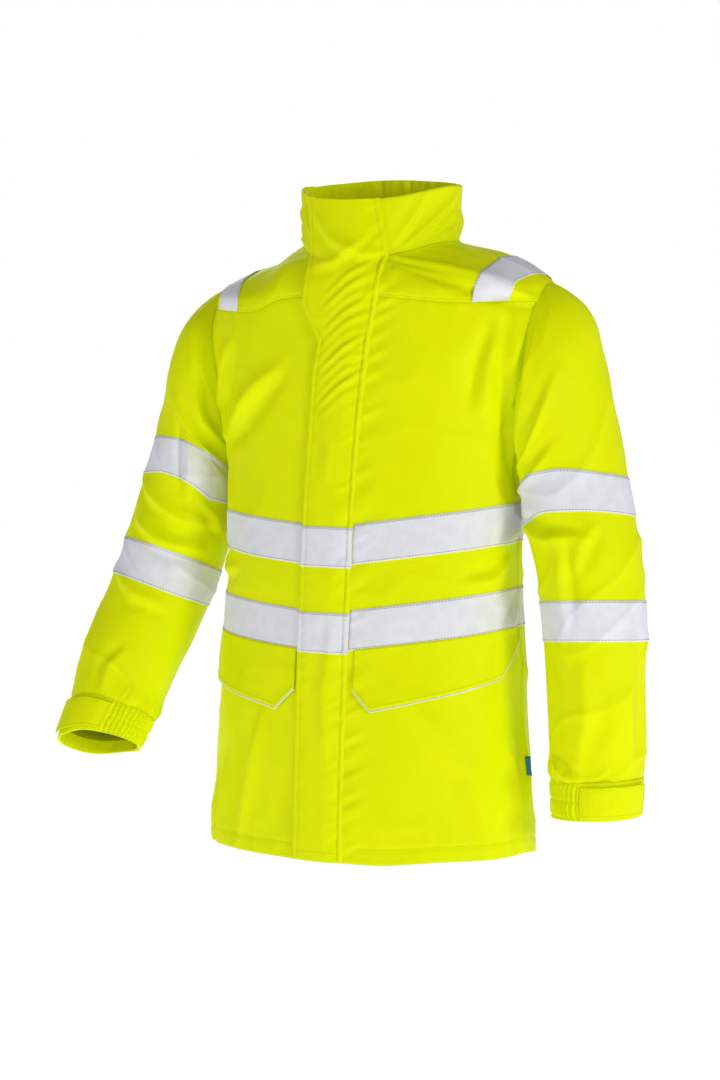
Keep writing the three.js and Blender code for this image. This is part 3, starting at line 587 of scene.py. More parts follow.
def pocket_bend(name):
    place, axis = hinge_place(f"pocket_flap_{name}_lift")
    down = np.cross(axis, (0, 1, 0))
    down *= -np.sign(down[2]) / np.linalg.norm(down)
    return place + 1 * down, place + 20 * down


def tab_bend(name):
    place, axis = hinge_place(f"cuff_tab_{name}_open")
    sleeve = SLEEVES[name]
    away = sleeve.skin(-75 + sleeve.cuff_turn, sleeve.wrist - CUFF_HEIGHT / 2, 2) - place
    away -= axis * (away @ axis)
    away /= np.linalg.norm(away)
    return place + 1 * away, place + 12 * away


BENDS = {
    "sleeve_left": ("shell", *sleeve_bend(1)),
    "sleeve_right": ("shell", *sleeve_bend(-1)),
    "storm_flap": ("shell", *flap_bend()),
    "pocket_flap_left": ("shell", *pocket_bend("left")),
    "pocket_flap_right": ("shell", *pocket_bend("right")),
    "cuff_tab_left": ("sleeve_left", *tab_bend("left")),
    "cuff_tab_right": ("sleeve_right", *tab_bend("right")),
}


def carry(piece, body, rigid=False):
    """piece is baked where it stands when its body is in BENDS and it is not rigid, and otherwise
    moves with its body.
    """
    if body in BENDS and not rigid:
        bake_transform(piece)
    else:
        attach(piece, body)
    return piece


def sew(piece, body, slot, *nodes, rigid=False):
    """piece goes with its body as carry() places it, and the frame's nodes of those names are
    hidden.
    slot is not used.
    """
    carry(piece, body, rigid)
    if nodes:
        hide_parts(*nodes)


# ------------------------------------------------------------------ materials
def linear(hex_colour):
    """sRGB hex to linear RGBA."""
    channels = [int(hex_colour[i:i + 2], 16) / 255 for i in (1, 3, 5)]
    return [c / 12.92 if c <= 0.04045 else ((c + 0.055) / 1.055) ** 2.4 for c in channels] + [1]


def node(tree, kind, links=(), **settings):
    """Adds a node; settings go to its sockets by name (spaces as _) or to its own properties."""
    made = tree.nodes.new("ShaderNode" + kind)
    for name, value in settings.items():
        socket = made.inputs.get(name.replace("_", " ").title().replace("Ior", "IOR"))
        if hasattr(made, name):
            setattr(made, name, value)
        elif socket is not None:
            socket.default_value = value
    for source, output, target in links:
        tree.links.new(source.outputs[output], made.inputs[target])
    return made


def finish(name, colour, roughness, shade, metallic=0.0, sheen=0.0, glow=0.0,
           grain=None, thread=None, gloss=0.3, mottle_size=40):
    """A cloth, a plastic or paint. thread and grain are (spacing in mm, height in mm), gloss is
    the strength of its reflections, and the colour drifts to shade over mottle_size mm."""
    material = bpy.data.materials.new(name)
    material.use_nodes = True
    tree = material.node_tree
    tree.nodes.clear()
    place = node(tree, "TexCoord")
    patches = node(tree, "TexNoise", [(place, "Object", "Vector")],
                   scale=1 / (mottle_size * MM), detail=3)
    drift = node(tree, "Mix", data_type="RGBA")
    drift.inputs[6].default_value = linear(colour)
    drift.inputs[7].default_value = linear(shade)
    tree.links.new(patches.outputs["Fac"], drift.inputs[0])
    shader = node(tree, "BsdfPrincipled", roughness=roughness, metallic=metallic,
                  sheen_weight=sheen, sheen_roughness=0.4, specular_ior_level=gloss,
                  emission_color=linear(colour), emission_strength=glow)
    tree.links.new(drift.outputs[2], shader.inputs["Base Color"])
    node(tree, "OutputMaterial", [(shader, "BSDF", "Surface")])
    height = None
    if thread:
        spacing, rise = thread
        weave = node(tree, "Math", operation="MULTIPLY")
        for axis, factor in zip("XY", weave.inputs):
            wave = node(tree, "TexWave", [(place, "UV", "Vector")], bands_direction=axis,
                        scale=2 * math.pi / 20 / (spacing * MM), distortion=0.4, detail=0)
            tree.links.new(wave.outputs["Fac"], factor)
        height = node(tree, "Bump", [(weave, "Value", "Height")], distance=rise * MM,
                      strength=1)
    if grain:
        size, rise = grain
        beads = node(tree, "TexNoise", [(place, "Object", "Vector")], scale=1 / (size * MM),
                     detail=1)
        below = [(height, "Normal", "Normal")] if height else []
        height = node(tree, "Bump", [(beads, "Fac", "Height")] + below, distance=rise * MM)
    if height:
        tree.links.new(height.outputs["Normal"], shader.inputs["Normal"])
    return material


# Polyester Oxford, dyed fluorescent and polyurethane coated: a flat, bright yellow with a fine
# square weave, a soft sheen at grazing angles and a little painted glow of its own, an emission
# that stands in for the fluorescence and flattens the shading. The threads are 0.5 mm apart on
# the real cloth and drawn at 1.5 mm, so that they show.
OXFORD = finish("fluorescent_oxford", "#e4ee00", 0.5, "#dce800", glow=0.05, gloss=0.05,
                thread=(1.5, 0.12), grain=(2.6, 0.12))
# Retroreflective transfer film: glass beads under a clear film, silver grey, finely grained.
REFLECTIVE = finish("silver_reflective_film", "#eeeff3", 0.6, "#d9dbe2", gloss=0.25,
                    grain=(0.9, 0.08), mottle_size=14)
# Polyester sewing thread in the tape's own grey and in the cloth's yellow.
GREY_THREAD = finish("grey_sewing_thread", "#62656f", 0.6, "#555862", grain=(0.4, 0.05))
YELLOW_THREAD = finish("yellow_sewing_thread", "#c6d200", 0.6, "#b8c400", gloss=0.08,
                       grain=(0.4, 0.05))
# Reflective piping: the same film folded round a cord.
PIPING = finish("reflective_piping", "#e6e8ea", 0.35, "#d6d8da", metallic=0.2, grain=(0.6, 0.05))
# Polyester taffeta lining: duller and a little darker than the shell.
TAFFETA = finish("taffeta_lining", "#bcc600", 0.6, "#a9b400", gloss=0.08,
                 thread=(1.2, 0.08))
# The sleeves' lining taffeta is painted a darker yellow, standing in for the shade deep inside
# the sleeves.
SHADED_LINING = finish("sleeve_lining_taffeta_painted_shade", "#8e9600", 0.65, "#7f8700", gloss=0.05,
                     thread=(1.2, 0.08))
# Hook and loop tape: a brushed nylon pile.
HOOK_LOOP = finish("hook_and_loop_tape", "#a6b200", 0.95, "#95a100", sheen=0.6,
                   grain=(1.1, 0.7))
# Moulded acetal zip, dark grey with a low sheen.
ACETAL = finish("moulded_acetal", "#34373a", 0.42, "#2c2f32", grain=(1.4, 0.04))
# Woven polyester zip tape.
ZIP_TAPE = finish("woven_zip_tape", "#b2be00", 0.75, "#a5b100", thread=(1.2, 0.15))
# Damask woven label, plain blue grey.
LABEL = finish("damask_label", "#3a86c8", 0.6, "#2f78b8", thread=(0.9, 0.1))
# Narrow polypropylene webbing.
WEBBING = finish("polypropylene_webbing", "#2f3234", 0.6, "#25282a", thread=(1.0, 0.2))


# ------------------------------------------------------------------ making pieces
def mesh_from(name, bm):
    mesh = bpy.data.meshes.new(name)
    bm.to_mesh(mesh)
    bm.free()
    return mesh


def as_object(name, mesh, material):
    if name in frame["nodes"]:
        name += "_fine"
    mesh.name = name
    mesh.materials.clear()
    mesh.materials.append(material)
    mesh.polygons.foreach_set("use_smooth", [True] * len(mesh.polygons))
    return in_scene(name, mesh)


def cloth(name, columns, rows, place, material, thickness, close=False, drop=None):
    """A sheet of cloth: a grid laid by place(u, v, out), given its wall inwards.

    close joins the last column to the first, and drop is a test on points for faces to leave
    out. The outline that the sheet was cut to is laid out as its flat UV layer, from its own
    lengths."""
    u, v = np.meshgrid(np.asarray(columns, float), np.asarray(rows, float))
    points = place(u, v, 0.0)
    outside = place(u, v, 1.0) - points
    bm = bmesh.new()
    bmesh.ops.create_grid(bm, x_segments=len(columns) - 1, y_segments=len(rows) - 1, size=0.5)
    bm.verts.ensure_lookup_table()
    co = np.array([vert.co[:] for vert in bm.verts])
    i = np.rint((co[:, 0] + 0.5) * (len(columns) - 1)).astype(int)
    j = np.rint((co[:, 1] + 0.5) * (len(rows) - 1)).astype(int)
    for vert, p in zip(bm.verts, placed(points[j, i])):
        vert.co = p
    across = np.linalg.norm(np.diff(points, axis=1), axis=2).mean(0)
    along = np.linalg.norm(np.diff(points, axis=0), axis=2).mean(1)
    run_u = np.concatenate([[0], np.cumsum(across)]) * MM
    run_v = np.concatenate([[0], np.cumsum(along)]) * MM
    layer = bm.loops.layers.uv.new("flat")
    for face in bm.faces:
        for loop in face.loops:
            k = loop.vert.index
            loop[layer].uv = (run_u[i[k]], run_v[j[k]])
    bm.faces.ensure_lookup_table()
    bm.normal_update()
    middle = bm.faces[len(bm.faces) // 2]
    k = middle.verts[0].index
    if middle.normal.dot(Vector(outside[j[k], i[k]])) < 0:
        bmesh.ops.reverse_faces(bm, faces=bm.faces)
    if drop is not None:
        gone = drop(points)[j, i]
        faces = [f for f in bm.faces if all(gone[vert.index] for vert in f.verts)]
        bmesh.ops.delete(bm, geom=faces, context="FACES")
    if close:
        bmesh.ops.remove_doubles(bm, verts=bm.verts, dist=0.01 * MM)
    area = sum(face.calc_area() for face in bm.faces)
    piece = as_object(name, mesh_from(name, bm), material)
    wall = piece.modifiers.new("wall", "SOLIDIFY")
    wall.thickness = thickness * MM
    wall.offset = -1
    return piece


STITCH_GAP = 1.2


def stitches(name, lines, body, tape=False, rigid=False):
    """Rows of stitches: each line is (points, outward directions) and gets threads along it,
    longer and grey on a tape."""
    length, radius = (2.8, 0.42) if tape else (2.6, 0.32)
    bm = bmesh.new()
    for points, out in lines:
        run = np.concatenate([[0], np.cumsum(np.linalg.norm(np.diff(points, axis=0), axis=1))])
        count = max(2, int(run[-1] / (length + STITCH_GAP)))
        for at in (np.arange(count) + 0.5) * run[-1] / count:
            ends = [np.array([np.interp(at + d, run, points[:, i]) for i in range(3)])
                    for d in (-length / 2, length / 2)]
            way = ends[1] - ends[0]
            size = np.linalg.norm(way)
            if size < 0.2:
                continue
            up = np.array([np.interp(at, run, out[:, i]) for i in range(3)])
            way = way / size
            side = np.cross(up, way)
            side /= np.linalg.norm(side)
            up = np.cross(way, side)
            axes = np.column_stack([way * length / 2, side * radius, up * radius * 0.75]) * MM
            place = Matrix.Translation(placed((ends[0] + ends[1]) / 2)) @ \
                Matrix(axes.tolist()).to_4x4()
            bmesh.ops.create_icosphere(bm, subdivisions=1, radius=1, matrix=place)
    bmesh.ops.recalc_face_normals(bm, faces=bm.faces)
    piece = as_object(name, mesh_from(name, bm), GREY_THREAD if tape else YELLOW_THREAD)
    sew(piece, body, "reflective_tape" if tape else "shell_fabric", rigid=rigid)


def line_on(place, u, v, out=0.25):
    """A stitch line on a surface, as points and outward directions."""
    u, v = np.broadcast_arrays(np.asarray(u, float), np.asarray(v, float))
    points = place(u, v, out)
    away = place(u, v, out + 1.0) - points
    return points, away / np.linalg.norm(away, axis=-1, keepdims=True)


def spread(stops, size):
    """Numbers through every stop, evenly spaced between them and no more than size apart."""
    made = [stops[0]]
    for a, b in zip(stops[:-1], stops[1:]):
        count = max(1, math.ceil(abs(b - a) / size - 1e-6))
        made.extend(a + (b - a) * (k + 1) / count for k in range(count))
    return np.array(made)


def tube(name, points, radius, material):
    """A round cord through points."""
    curve = bpy.data.curves.new(name, "CURVE")
    curve.dimensions = "3D"
    curve.bevel_depth = radius * MM
    curve.bevel_resolution = 2
    curve.use_fill_caps = True
    spline = curve.splines.new("POLY")
    spline.points.add(len(points) - 1)
    for place, p in zip(spline.points, placed(points)):
        place.co = (*p, 1)
    drawn = in_scene(name + "_line", curve)
    mesh = bpy.data.meshes.new_from_object(drawn)
    bpy.data.objects.remove(drawn)
    return as_object(name, mesh, material)


# ------------------------------------------------------------------ the body's panels
FINE = 1.0                     # degrees between columns
ROW = 3.6                      # millimetres between rows


def on_body(angle, level, out):
    return body_skin(angle, level, body_relief(angle, level) + out)


def in_a_sleeve(points):
    return (SLEEVES["left"].share(points) < 0.95) | (SLEEVES["right"].share(points) < 0.95)


def panel_place(angle, v, out):
    return on_body(angle, v * yoke_level(angle) - 0.3, out)


def yoke_place(angle, v, out):
    """The yokes lap over the panels' top edge by a stitch's width."""
    lap = 1.4 * (1 - v)
    return on_body(angle, mix(yoke_level(angle) - 1.5, NECK_SEAM, v), out + lap)


def make_body():
    edge = SEAM_ANGLE - 0.15
    panel_rows = spread([0, HEM_STITCH / YOKE_SEAM, 1], ROW / YOKE_SEAM)
    yoke_rows = spread([0, 1], 1 / 26)
    for front, back, opening, rows, place in (
            ("front_panel", "back_panel", 3, panel_rows, panel_place),
            ("yoke_front", "yoke_back", 4, yoke_rows, yoke_place)):
        for name, first, last in ((front + "_left", opening, edge),
                                  (front + "_right", -edge, -opening),
                                  (back, SEAM_ANGLE + 0.15, 360 - edge)):
            piece = cloth(name, spread([first, last], FINE), rows, place, OXFORD, 1.0,
                          drop=in_a_sleeve)
            sew(piece, "shell", "shell_fabric", name)


# ------------------------------------------------------------------ collar
RIM, CUFF_RIM = 2.8, 1.5       # radii of the collar's and the cuffs' rolled edges
# The collar's folds fan out from its base at the front of the shoulder.
COLLAR_FOLDS = [fold for side in (1, -1) for fold in (
    ([(side * 78, 750), (side * 120, 775), (side * 172, 806)], 6.5, 3.0, 0.9),
    ([(side * 82, 747), (side * 128, 764), (side * 178, 784)], 5.5, 3.2, 0.9),
    ([(side * 88, 745), (side * 135, 753), (side * 184, 764)], 5.0, 2.8, 0.8),
    ([(side * 70, 760), (side * 88, 786), (side * 104, 814)], 7, 2.2, 0.7),
    ([(side * 200, 750), (side * 236, 775), (side * 280, 785)], 8, 2.6, 0.8),
)] + [([(325, 752), (342, 780), (330, 812)], 9, 2.4, 0.7)]


def collar_relief(angle, level, inside):
    x = half_turn(angle) * 1.9
    relief = 1.3 * noise(x / 34 + 4, level / 40) + 0.5 * noise(x / 13, level / 17 + 3)
    for fold in COLLAR_FOLDS:
        relief = relief + crease(x, level, *fold) * (1 - inside)
    quilt = 3.0 * noise(x / 9 + 20, level / 60 + x / 40) + 1.4 * noise(x / 5, level / 11)
    tacked = step(NECK_SEAM, NECK_SEAM + 10, level)
    return relief * tacked * (1 - inside) + quilt * inside - 0.8 * bump(level - NECK_SEAM, 2)


RIM_FROM, RIM_TO = 0.46, 0.54  # shares of a folded piece's length


def over_rim(v, start, rim_at, end, rim):
    """Cloth that runs outside from start, over a rim at rim_at and back inside to end, as v
    goes from 0 to 1: how far along it is, how far off the surface, and 1 or -1 for the way it
    faces."""
    there = np.clip(v / RIM_FROM, 0, 1)
    over = np.clip((v - RIM_FROM) / 0.08, 0, 1) * math.pi
    back = np.clip((v - RIM_TO) / 0.46, 0, 1)
    along = np.where(v < RIM_FROM, mix(start, rim_at, there),
                     np.where(v > RIM_TO, mix(rim_at, end, back), rim_at + rim * np.sin(over)))
    away = np.where(v < RIM_FROM, 0,
                    np.where(v > RIM_TO, -2 * rim, -rim + rim * np.cos(over)))
    return along, away, np.where(v > 0.5, -1, 1)


def rim_rows(outside, inside):
    return np.concatenate([np.linspace(0, RIM_FROM, outside), np.linspace(0.47, 0.53, 6),
                           np.linspace(RIM_TO, 1, inside)])


def collar_place(angle, v, out):
    level, away, facing = over_rim(v, NECK_SEAM - 1, COLLAR_TOP - RIM, NECK_SEAM + 1, RIM)
    wave = collar_relief(angle, level, step(RIM_FROM, RIM_TO, v))
    return body_skin(angle, level, away + wave + out * facing)


def make_collar():
    collar = cloth("collar", spread([6, 354], 1.2), rim_rows(28, 22), collar_place, OXFORD,
                   0.9)
    sew(collar, "shell", "shell_fabric", "collar_outer", "collar_lining")


# ------------------------------------------------------------------ storm flap
FLAP_THICKNESS = 1.8
# Slanting ripples where the flap is drawn across the chest.
FLAP_FOLDS = [
    ([(36 - 0.02 * k, 742 - 15 * k), (8, 726 - 15 * k), (-22, 700 - 15 * k)], 4.2,
     1.3 + 0.5 * math.sin(2.3 * k), 0.8) for k in range(11)
] + [
    ([(-50, 800), (-20, 770), (20, 752), (48, 748)], 7, 2.0, 0.7),
    ([(-52, 730), (-15, 742), (30, 775)], 6, 1.8, 0.7),
    ([(-30, 560), (-5, 520), (-8, 470)], 9, 1.6, 0.6),
    ([(10, 300), (0, 210), (6, 120)], 10, 1.6, 0.5),
]


def flap_under(u, level):
    seam_room = straight([0, YOKE_SEAM, NECK_SEAM - 10, COLLAR_TOP], [0.8, 1, 3, 1.4], level)
    u, seam_room = np.broadcast_arrays(u, seam_room)
    left = smooth([0, 0.33, 0.66], [3.2, 5.2, 5.6], np.minimum(u, 0.66))
    right = mix(5.6, seam_room, step(0.62, 1.0, u))
    return np.where(u < 0.66, left, right)


def flap_relief(x, level):
    """Folds on the flap; x and level in millimetres."""
    from_seam = seam_line(level) - x
    from_free = x - free_line(level)
    rope = 1 + 0.55 * noise(level / 4.5, x * 0) + 0.3 * noise(level / 2.6 + 9, x * 0)
    ridge = 0.9 * rope * bump(from_seam - 4.0, 2.2) - 1.5 * bump(from_seam - 7.4, 1.3)
    ridge = ridge - 1.9 * bump(from_seam, 1.8)
    edge = -0.9 * bump(from_free - 7.5, 1.2) + 0.5 * bump(from_free - 3.5, 3)
    slant = level + 0.55 * from_seam
    tight = 0.5 + 0.9 * step(560, 660, level) * (1 - step(745, 790, level))
    slanting = noise(slant / 6.5 + 0.4 * noise(level / 30, x / 9), level / 90)
    puckers = 2.0 * tight * slanting * bump(from_seam - 9, 13) * step(2, 8, from_seam)
    level_ones = noise(level / 6.0 + 31, from_free / 25)
    puckers = puckers + 0.7 * level_ones * bump(from_free - 9, 8)
    relief = 0.5 * noise(x / 30 + 40, level / 55) + 0.25 * noise(x / 12, level / 20)
    relief = with_folds(relief, x, level, FLAP_FOLDS)
    return relief + ridge + edge + puckers


def flap_place(u, level, out):
    x = mix(free_line(level), seam_line(level), u)
    away = flap_under(u, level) + FLAP_THICKNESS + flap_relief(x, level)
    rolled = np.where(u < 0.01, -0.9, 0) + np.where(u > 0.99, -1.2, 0)
    return body_skin(angle_at(x, level), level, away + rolled + out)


def make_storm_flap():
    columns = np.unique(np.concatenate([[0, 0.008, 0.02], np.linspace(0.045, 0.955, 34),
                                        [0.965, 0.98, 0.992, 1]]))
    rows = spread([0] + FREE_LEVELS[1:-1] + [COLLAR_TOP - 1.5, COLLAR_TOP], 3.0)
    flap = cloth("storm_flap", columns, rows, flap_place, OXFORD, 1.5)
    sew(flap, "storm_flap", "shell_fabric", "storm_flap")
    levels = np.linspace(4, COLLAR_TOP - 4, 300)

    def beside(from_free=None, from_seam=None):
        width = seam_line(levels) - free_line(levels)
        return from_free / width if from_seam is None else 1 - from_seam / width

    lines = [line_on(flap_place, beside(from_free=7.5), levels),
             line_on(flap_place, beside(from_seam=7.4), levels)]
    across = np.linspace(0.07, 0.93, 30)
    lines.append(line_on(flap_place, across, np.full(30, 12.0)))
    stitches("storm_flap_stitching", lines, "storm_flap")


# ------------------------------------------------------------------ tapes
TAPE_LIFT = 0.9
TAPE_WALL = 0.5
TAPE_ROWS = spread([-TAPE_WIDTH / 2, TAPE_WIDTH / 2], 2.6)


def tape_edges(name, place, u, body):
    """The grey stitch lines just inside a tape's two long edges."""
    inset = TAPE_WIDTH / 2 - 2.4
    lines = [line_on(place, u, np.full(len(u), edge), 0.15) for edge in (-inset, inset)]
    stitches(name + "_stitching", lines, body, tape=True)


def lay_tape(name, columns, rows, place, body, close=False):
    tape = cloth(name, columns, rows, place, REFLECTIVE, TAPE_WALL, close=close)
    sew(tape, body, "reflective_tape", name)


def make_body_tapes():
    for which, height in (("upper", UPPER_TAPE), ("lower", LOWER_TAPE)):
        def place(angle, v, out, height=height):
            return on_body(angle, tape_level(height, angle) + v, TAPE_LIFT + out)

        left_edge = float(angle_at(seam_line(height) + 0.6, height))
        right_edge = float(angle_at(free_line(height) + 3, height))
        for name, first, last, under in (
                ("left", left_edge, SEAM_ANGLE - 0.1, "front_panel_left"),
                ("right", 0.1 - SEAM_ANGLE, right_edge, "front_panel_right"),
                ("back", SEAM_ANGLE + 0.1, 359.9 - SEAM_ANGLE, "back_panel")):
            node_name = f"body_tape_{which}_{name}"
            columns = spread([first, last], FINE)
            lay_tape(node_name, columns, TAPE_ROWS, place, "shell")
            tape_edges(node_name, place, columns, "shell")

        def flap_tape(u, v, out, height=height):
            return flap_place(u, height + v, out + 0.8)

        columns = np.concatenate([[0.0, 0.012], np.linspace(0.04, 0.96, 30), [0.988, 1.0]])
        lay_tape(f"flap_tape_{which}", columns, TAPE_ROWS, flap_tape, "storm_flap")
        tape_edges(f"flap_tape_{which}", flap_tape, columns[1:-1], "storm_flap")
        width = seam_line(height) - free_line(height)
        ends = np.linspace(-24, 24, 14)
        lines = [line_on(flap_tape, np.full(14, share), ends, 0.2)
                 for share in (7.5 / width, 1 - 7.4 / width)]
        stitches(f"flap_tape_{which}_topstitch", lines, "storm_flap")


def make_shoulder_tapes():
    """Each lies over the shoulder from the front yoke seam to the back one, 50 mm wide."""
    for name, side in SIDES:
        def strip(x, v, out, side=side):
            """x across the tape; v from 0 at the front seam to 1 at the back one."""
            angle, level_share = shoulder_path(x, v, side)
            return yoke_place(angle * side, level_share, out + 1.6)

        columns = np.linspace(-25, 25, 20)
        lay_tape(f"shoulder_tape_{name}", columns, np.linspace(0, 1, 60), strip, "shell")
        run = np.linspace(0.02, 0.98, 60)
        lines = [line_on(strip, np.full(60, x), run, 0.15) for x in (-22.6, 22.6)]
        stitches(f"shoulder_tape_{name}_stitching", lines, "shell", tape=True)


def shoulder_path(x, v, side):
    """The body angle and yoke share at which a line x mm beside the tape's middle crosses."""
    x, v = np.broadcast_arrays(np.asarray(x, float), np.asarray(v, float))
    want = SHOULDER_TAPE_MIDDLE + 10 * np.sin(math.pi * v) + 0.8 * x * side
    front, back = yoke_crossing(want, True), yoke_crossing(want, False)
    angle = mix(front, back, v)
    low, high = np.zeros(x.shape), np.ones(x.shape)
    for _ in range(22):
        share = (low + high) / 2
        here = np.abs(body_point(angle, mix(yoke_level(angle), NECK_SEAM, share))[..., 0])
        low, high = np.where(here > want, share, low), np.where(here > want, high, share)
    return angle, (low + high) / 2



def yoke_crossing(want, front):
    """The angle at which the yoke seam is want mm from the centre plane."""
    tries = np.linspace(20, 90, 140) if front else np.linspace(160, 90, 140)
    x = body_point(tries, yoke_level(tries))[:, 0]
    return np.interp(want, x, tries)


# ------------------------------------------------------------------ pockets
POCKET_FROM, POCKET_TO = 10.5, 91.0


def pocket_top(angle):
    return tape_level(LOWER_TAPE, angle) - TAPE_WIDTH / 2 + 1.0


def pocket_stops(side):
    """Angles of the flap's ends and of the corners of its lower edge."""
    return (POCKET_FROM, 17.0, 73.0, POCKET_TO) if side > 0 else \
        (POCKET_FROM + 1.8, 20.0, 73.0, POCKET_TO)


def pocket_bottom(angle):
    left, right = (straight(pocket_stops(side), [48, 76, 56, 14], turned(angle))
                   for side in (1, -1))
    return pocket_top(angle) - 2.5 - np.where(np.asarray(angle) > 0, left, right)


def pocket_place(angle, v, out):
    """v from 0 at the lower edge to 1 under the tape."""
    level = mix(pocket_bottom(angle), pocket_top(angle), v)
    lift = mix(2.6, 0.4, step(0, 1, v)) + 0.5 * bump(v - 0.06, 0.05)
    soft = 0.5 * noise(turned(angle) / 4 + 50, level / 12) * bump(v, 0.35)
    return on_body(angle, level, lift + soft + 1.2 + out)


def make_pockets():
    for name, side in SIDES:
        columns = spread(pocket_stops(side), 0.8)
        if side < 0:
            columns = -columns[::-1]
        body = f"pocket_flap_{name}"
        flap = cloth(body, columns, np.linspace(0, 1, 26), pocket_place, OXFORD, 1.1)
        sew(flap, body, "shell_fabric", body)
        edge = pocket_place(columns, 0.0 * columns, -0.6)
        edge[:, 2] -= 0.6
        cord = tube(f"pocket_piping_{name}", edge, 1.1, PIPING)
        sew(cord, body, "piping", f"pocket_piping_{name}")
        height = pocket_top(columns) - pocket_bottom(columns)
        line = line_on(pocket_place, columns, 5.0 / height)
        stitches(f"pocket_flap_{name}_stitching", [line], body)


# ------------------------------------------------------------------ sleeves and cuffs
def make_sleeve(name):
    sleeve = SLEEVES[name]
    body = f"sleeve_{name}"
    ring = np.linspace(0, 360, 121)
    seam = np.append(sleeve.seam(ring[:-1]), 0)
    seam[-1] = seam[0]

    def along(angle, v):
        start = np.interp(np.asarray(angle) % 360, ring, seam)
        return mix(start - 1.5, sleeve.cuff_top + 1, v)

    def place(angle, v, out):
        at = along(angle, v)
        start = np.interp(np.asarray(angle) % 360, ring, seam)
        tucked = -2.2 * bump(at - start + 1.5, 3.2)
        return sleeve.skin(angle, at, sleeve.relief(angle, at) + tucked + out)

    length = sleeve.cuff_top - seam.min()
    columns = np.linspace(0, 360, 131)
    tube_cloth = cloth(body, columns, np.linspace(0, 1, int(length / 3.2)), place, OXFORD, 1.0,
                       close=True)
    sew(tube_cloth, body, "shell_fabric", body, f"sleeve_head_{name}")
    line = line_on(place, columns, np.full(len(columns), 3.5 / length))
    stitches(f"armhole_stitching_{name}", [line], body)

    for which, (start, lower, slant) in zip(("upper", "lower"), sleeve.tapes):
        def tape_place(angle, v, out, start=start, lower=lower, slant=slant):
            middle = start + lower + slant * np.cos(np.radians(angle)) + TAPE_WIDTH / 2
            reach = sleeve.skin(angle, middle + 4, 0.0) - sleeve.skin(angle, middle - 4, 0.0)
            at = middle + v * 8 / np.maximum(np.linalg.norm(reach, axis=-1), 4.0)
            return sleeve.skin(angle, at, sleeve.relief(angle, at) + TAPE_LIFT + out)

        node_name = f"sleeve_tape_{which}_{name}"
        lay_tape(node_name, columns, TAPE_ROWS, tape_place, body, close=True)
        tape_edges(node_name, tape_place, np.linspace(0, 360, 240), body)
    # The sleeves' lining: its darker colour is painted shade for the depth inside the sleeves.
    inside = cloth(f"sleeve_lining_{name}", np.linspace(0, 360, 91),
                   spread([70, sleeve.wrist - 16], 7),
                   lambda angle, at, out: sleeve.skin(
                       angle, at, 1.2 * noise(angle / 11, at / 26) - 7.5 - out),
                   SHADED_LINING, 0.5, close=True)
    sew(inside, body, "lining")
    make_cuff(name, sleeve, body)


def make_cuff(name, sleeve, body):
    def cuff_place(angle, v, out):
        at, away, facing = over_rim(v, sleeve.cuff_top - 0.5, sleeve.wrist - CUFF_RIM,
                                    sleeve.cuff_top - 1, CUFF_RIM)
        share = (at - sleeve.cuff_top) / CUFF_HEIGHT
        gathered = gathered_share(angle - sleeve.cuff_turn)
        rows_pinch = sum(bump(share - row, 0.035) for row in (0.04, 0.5, 0.93))
        puff = 1 - 0.75 * np.clip(rows_pinch, 0, 1)
        wave = gathered * puff * (1.6 + 1.9 * gathers(angle, at)) - 1.2 * gathered
        plain = 0.5 * noise(angle / 14 + 60, share * 3) - 0.9 * bump(at - sleeve.cuff_top, 2)
        return sleeve.skin(angle, at, away + wave + plain + out * facing)

    cuff = cloth(f"cuff_{name}", np.linspace(0, 360, 361), rim_rows(24, 20), cuff_place,
                 OXFORD, 0.6, close=True)
    sew(cuff, body, "shell_fabric", f"cuff_band_{name}", f"cuff_elastic_{name}", rigid=True)
    plain = np.linspace(ELASTIC_TO - 360, ELASTIC_FROM, 90) + sleeve.cuff_turn
    lines = [line_on(cuff_place, plain, np.full(90, v)) for v in (0.04, 0.42)]
    stitches(f"cuff_stitching_{name}", lines, body, rigid=True)
    make_tab(name, sleeve, body)


TAB_FROM, TAB_TO = -89.0, 3.0
TAB_HEIGHT = 38.0


def hook_and_loop(name, columns, rows, place, body, rigid=False):
    strip = cloth(name, columns, rows, place, HOOK_LOOP, 0.6)
    sew(strip, body, "hook_and_loop", name, rigid=rigid)


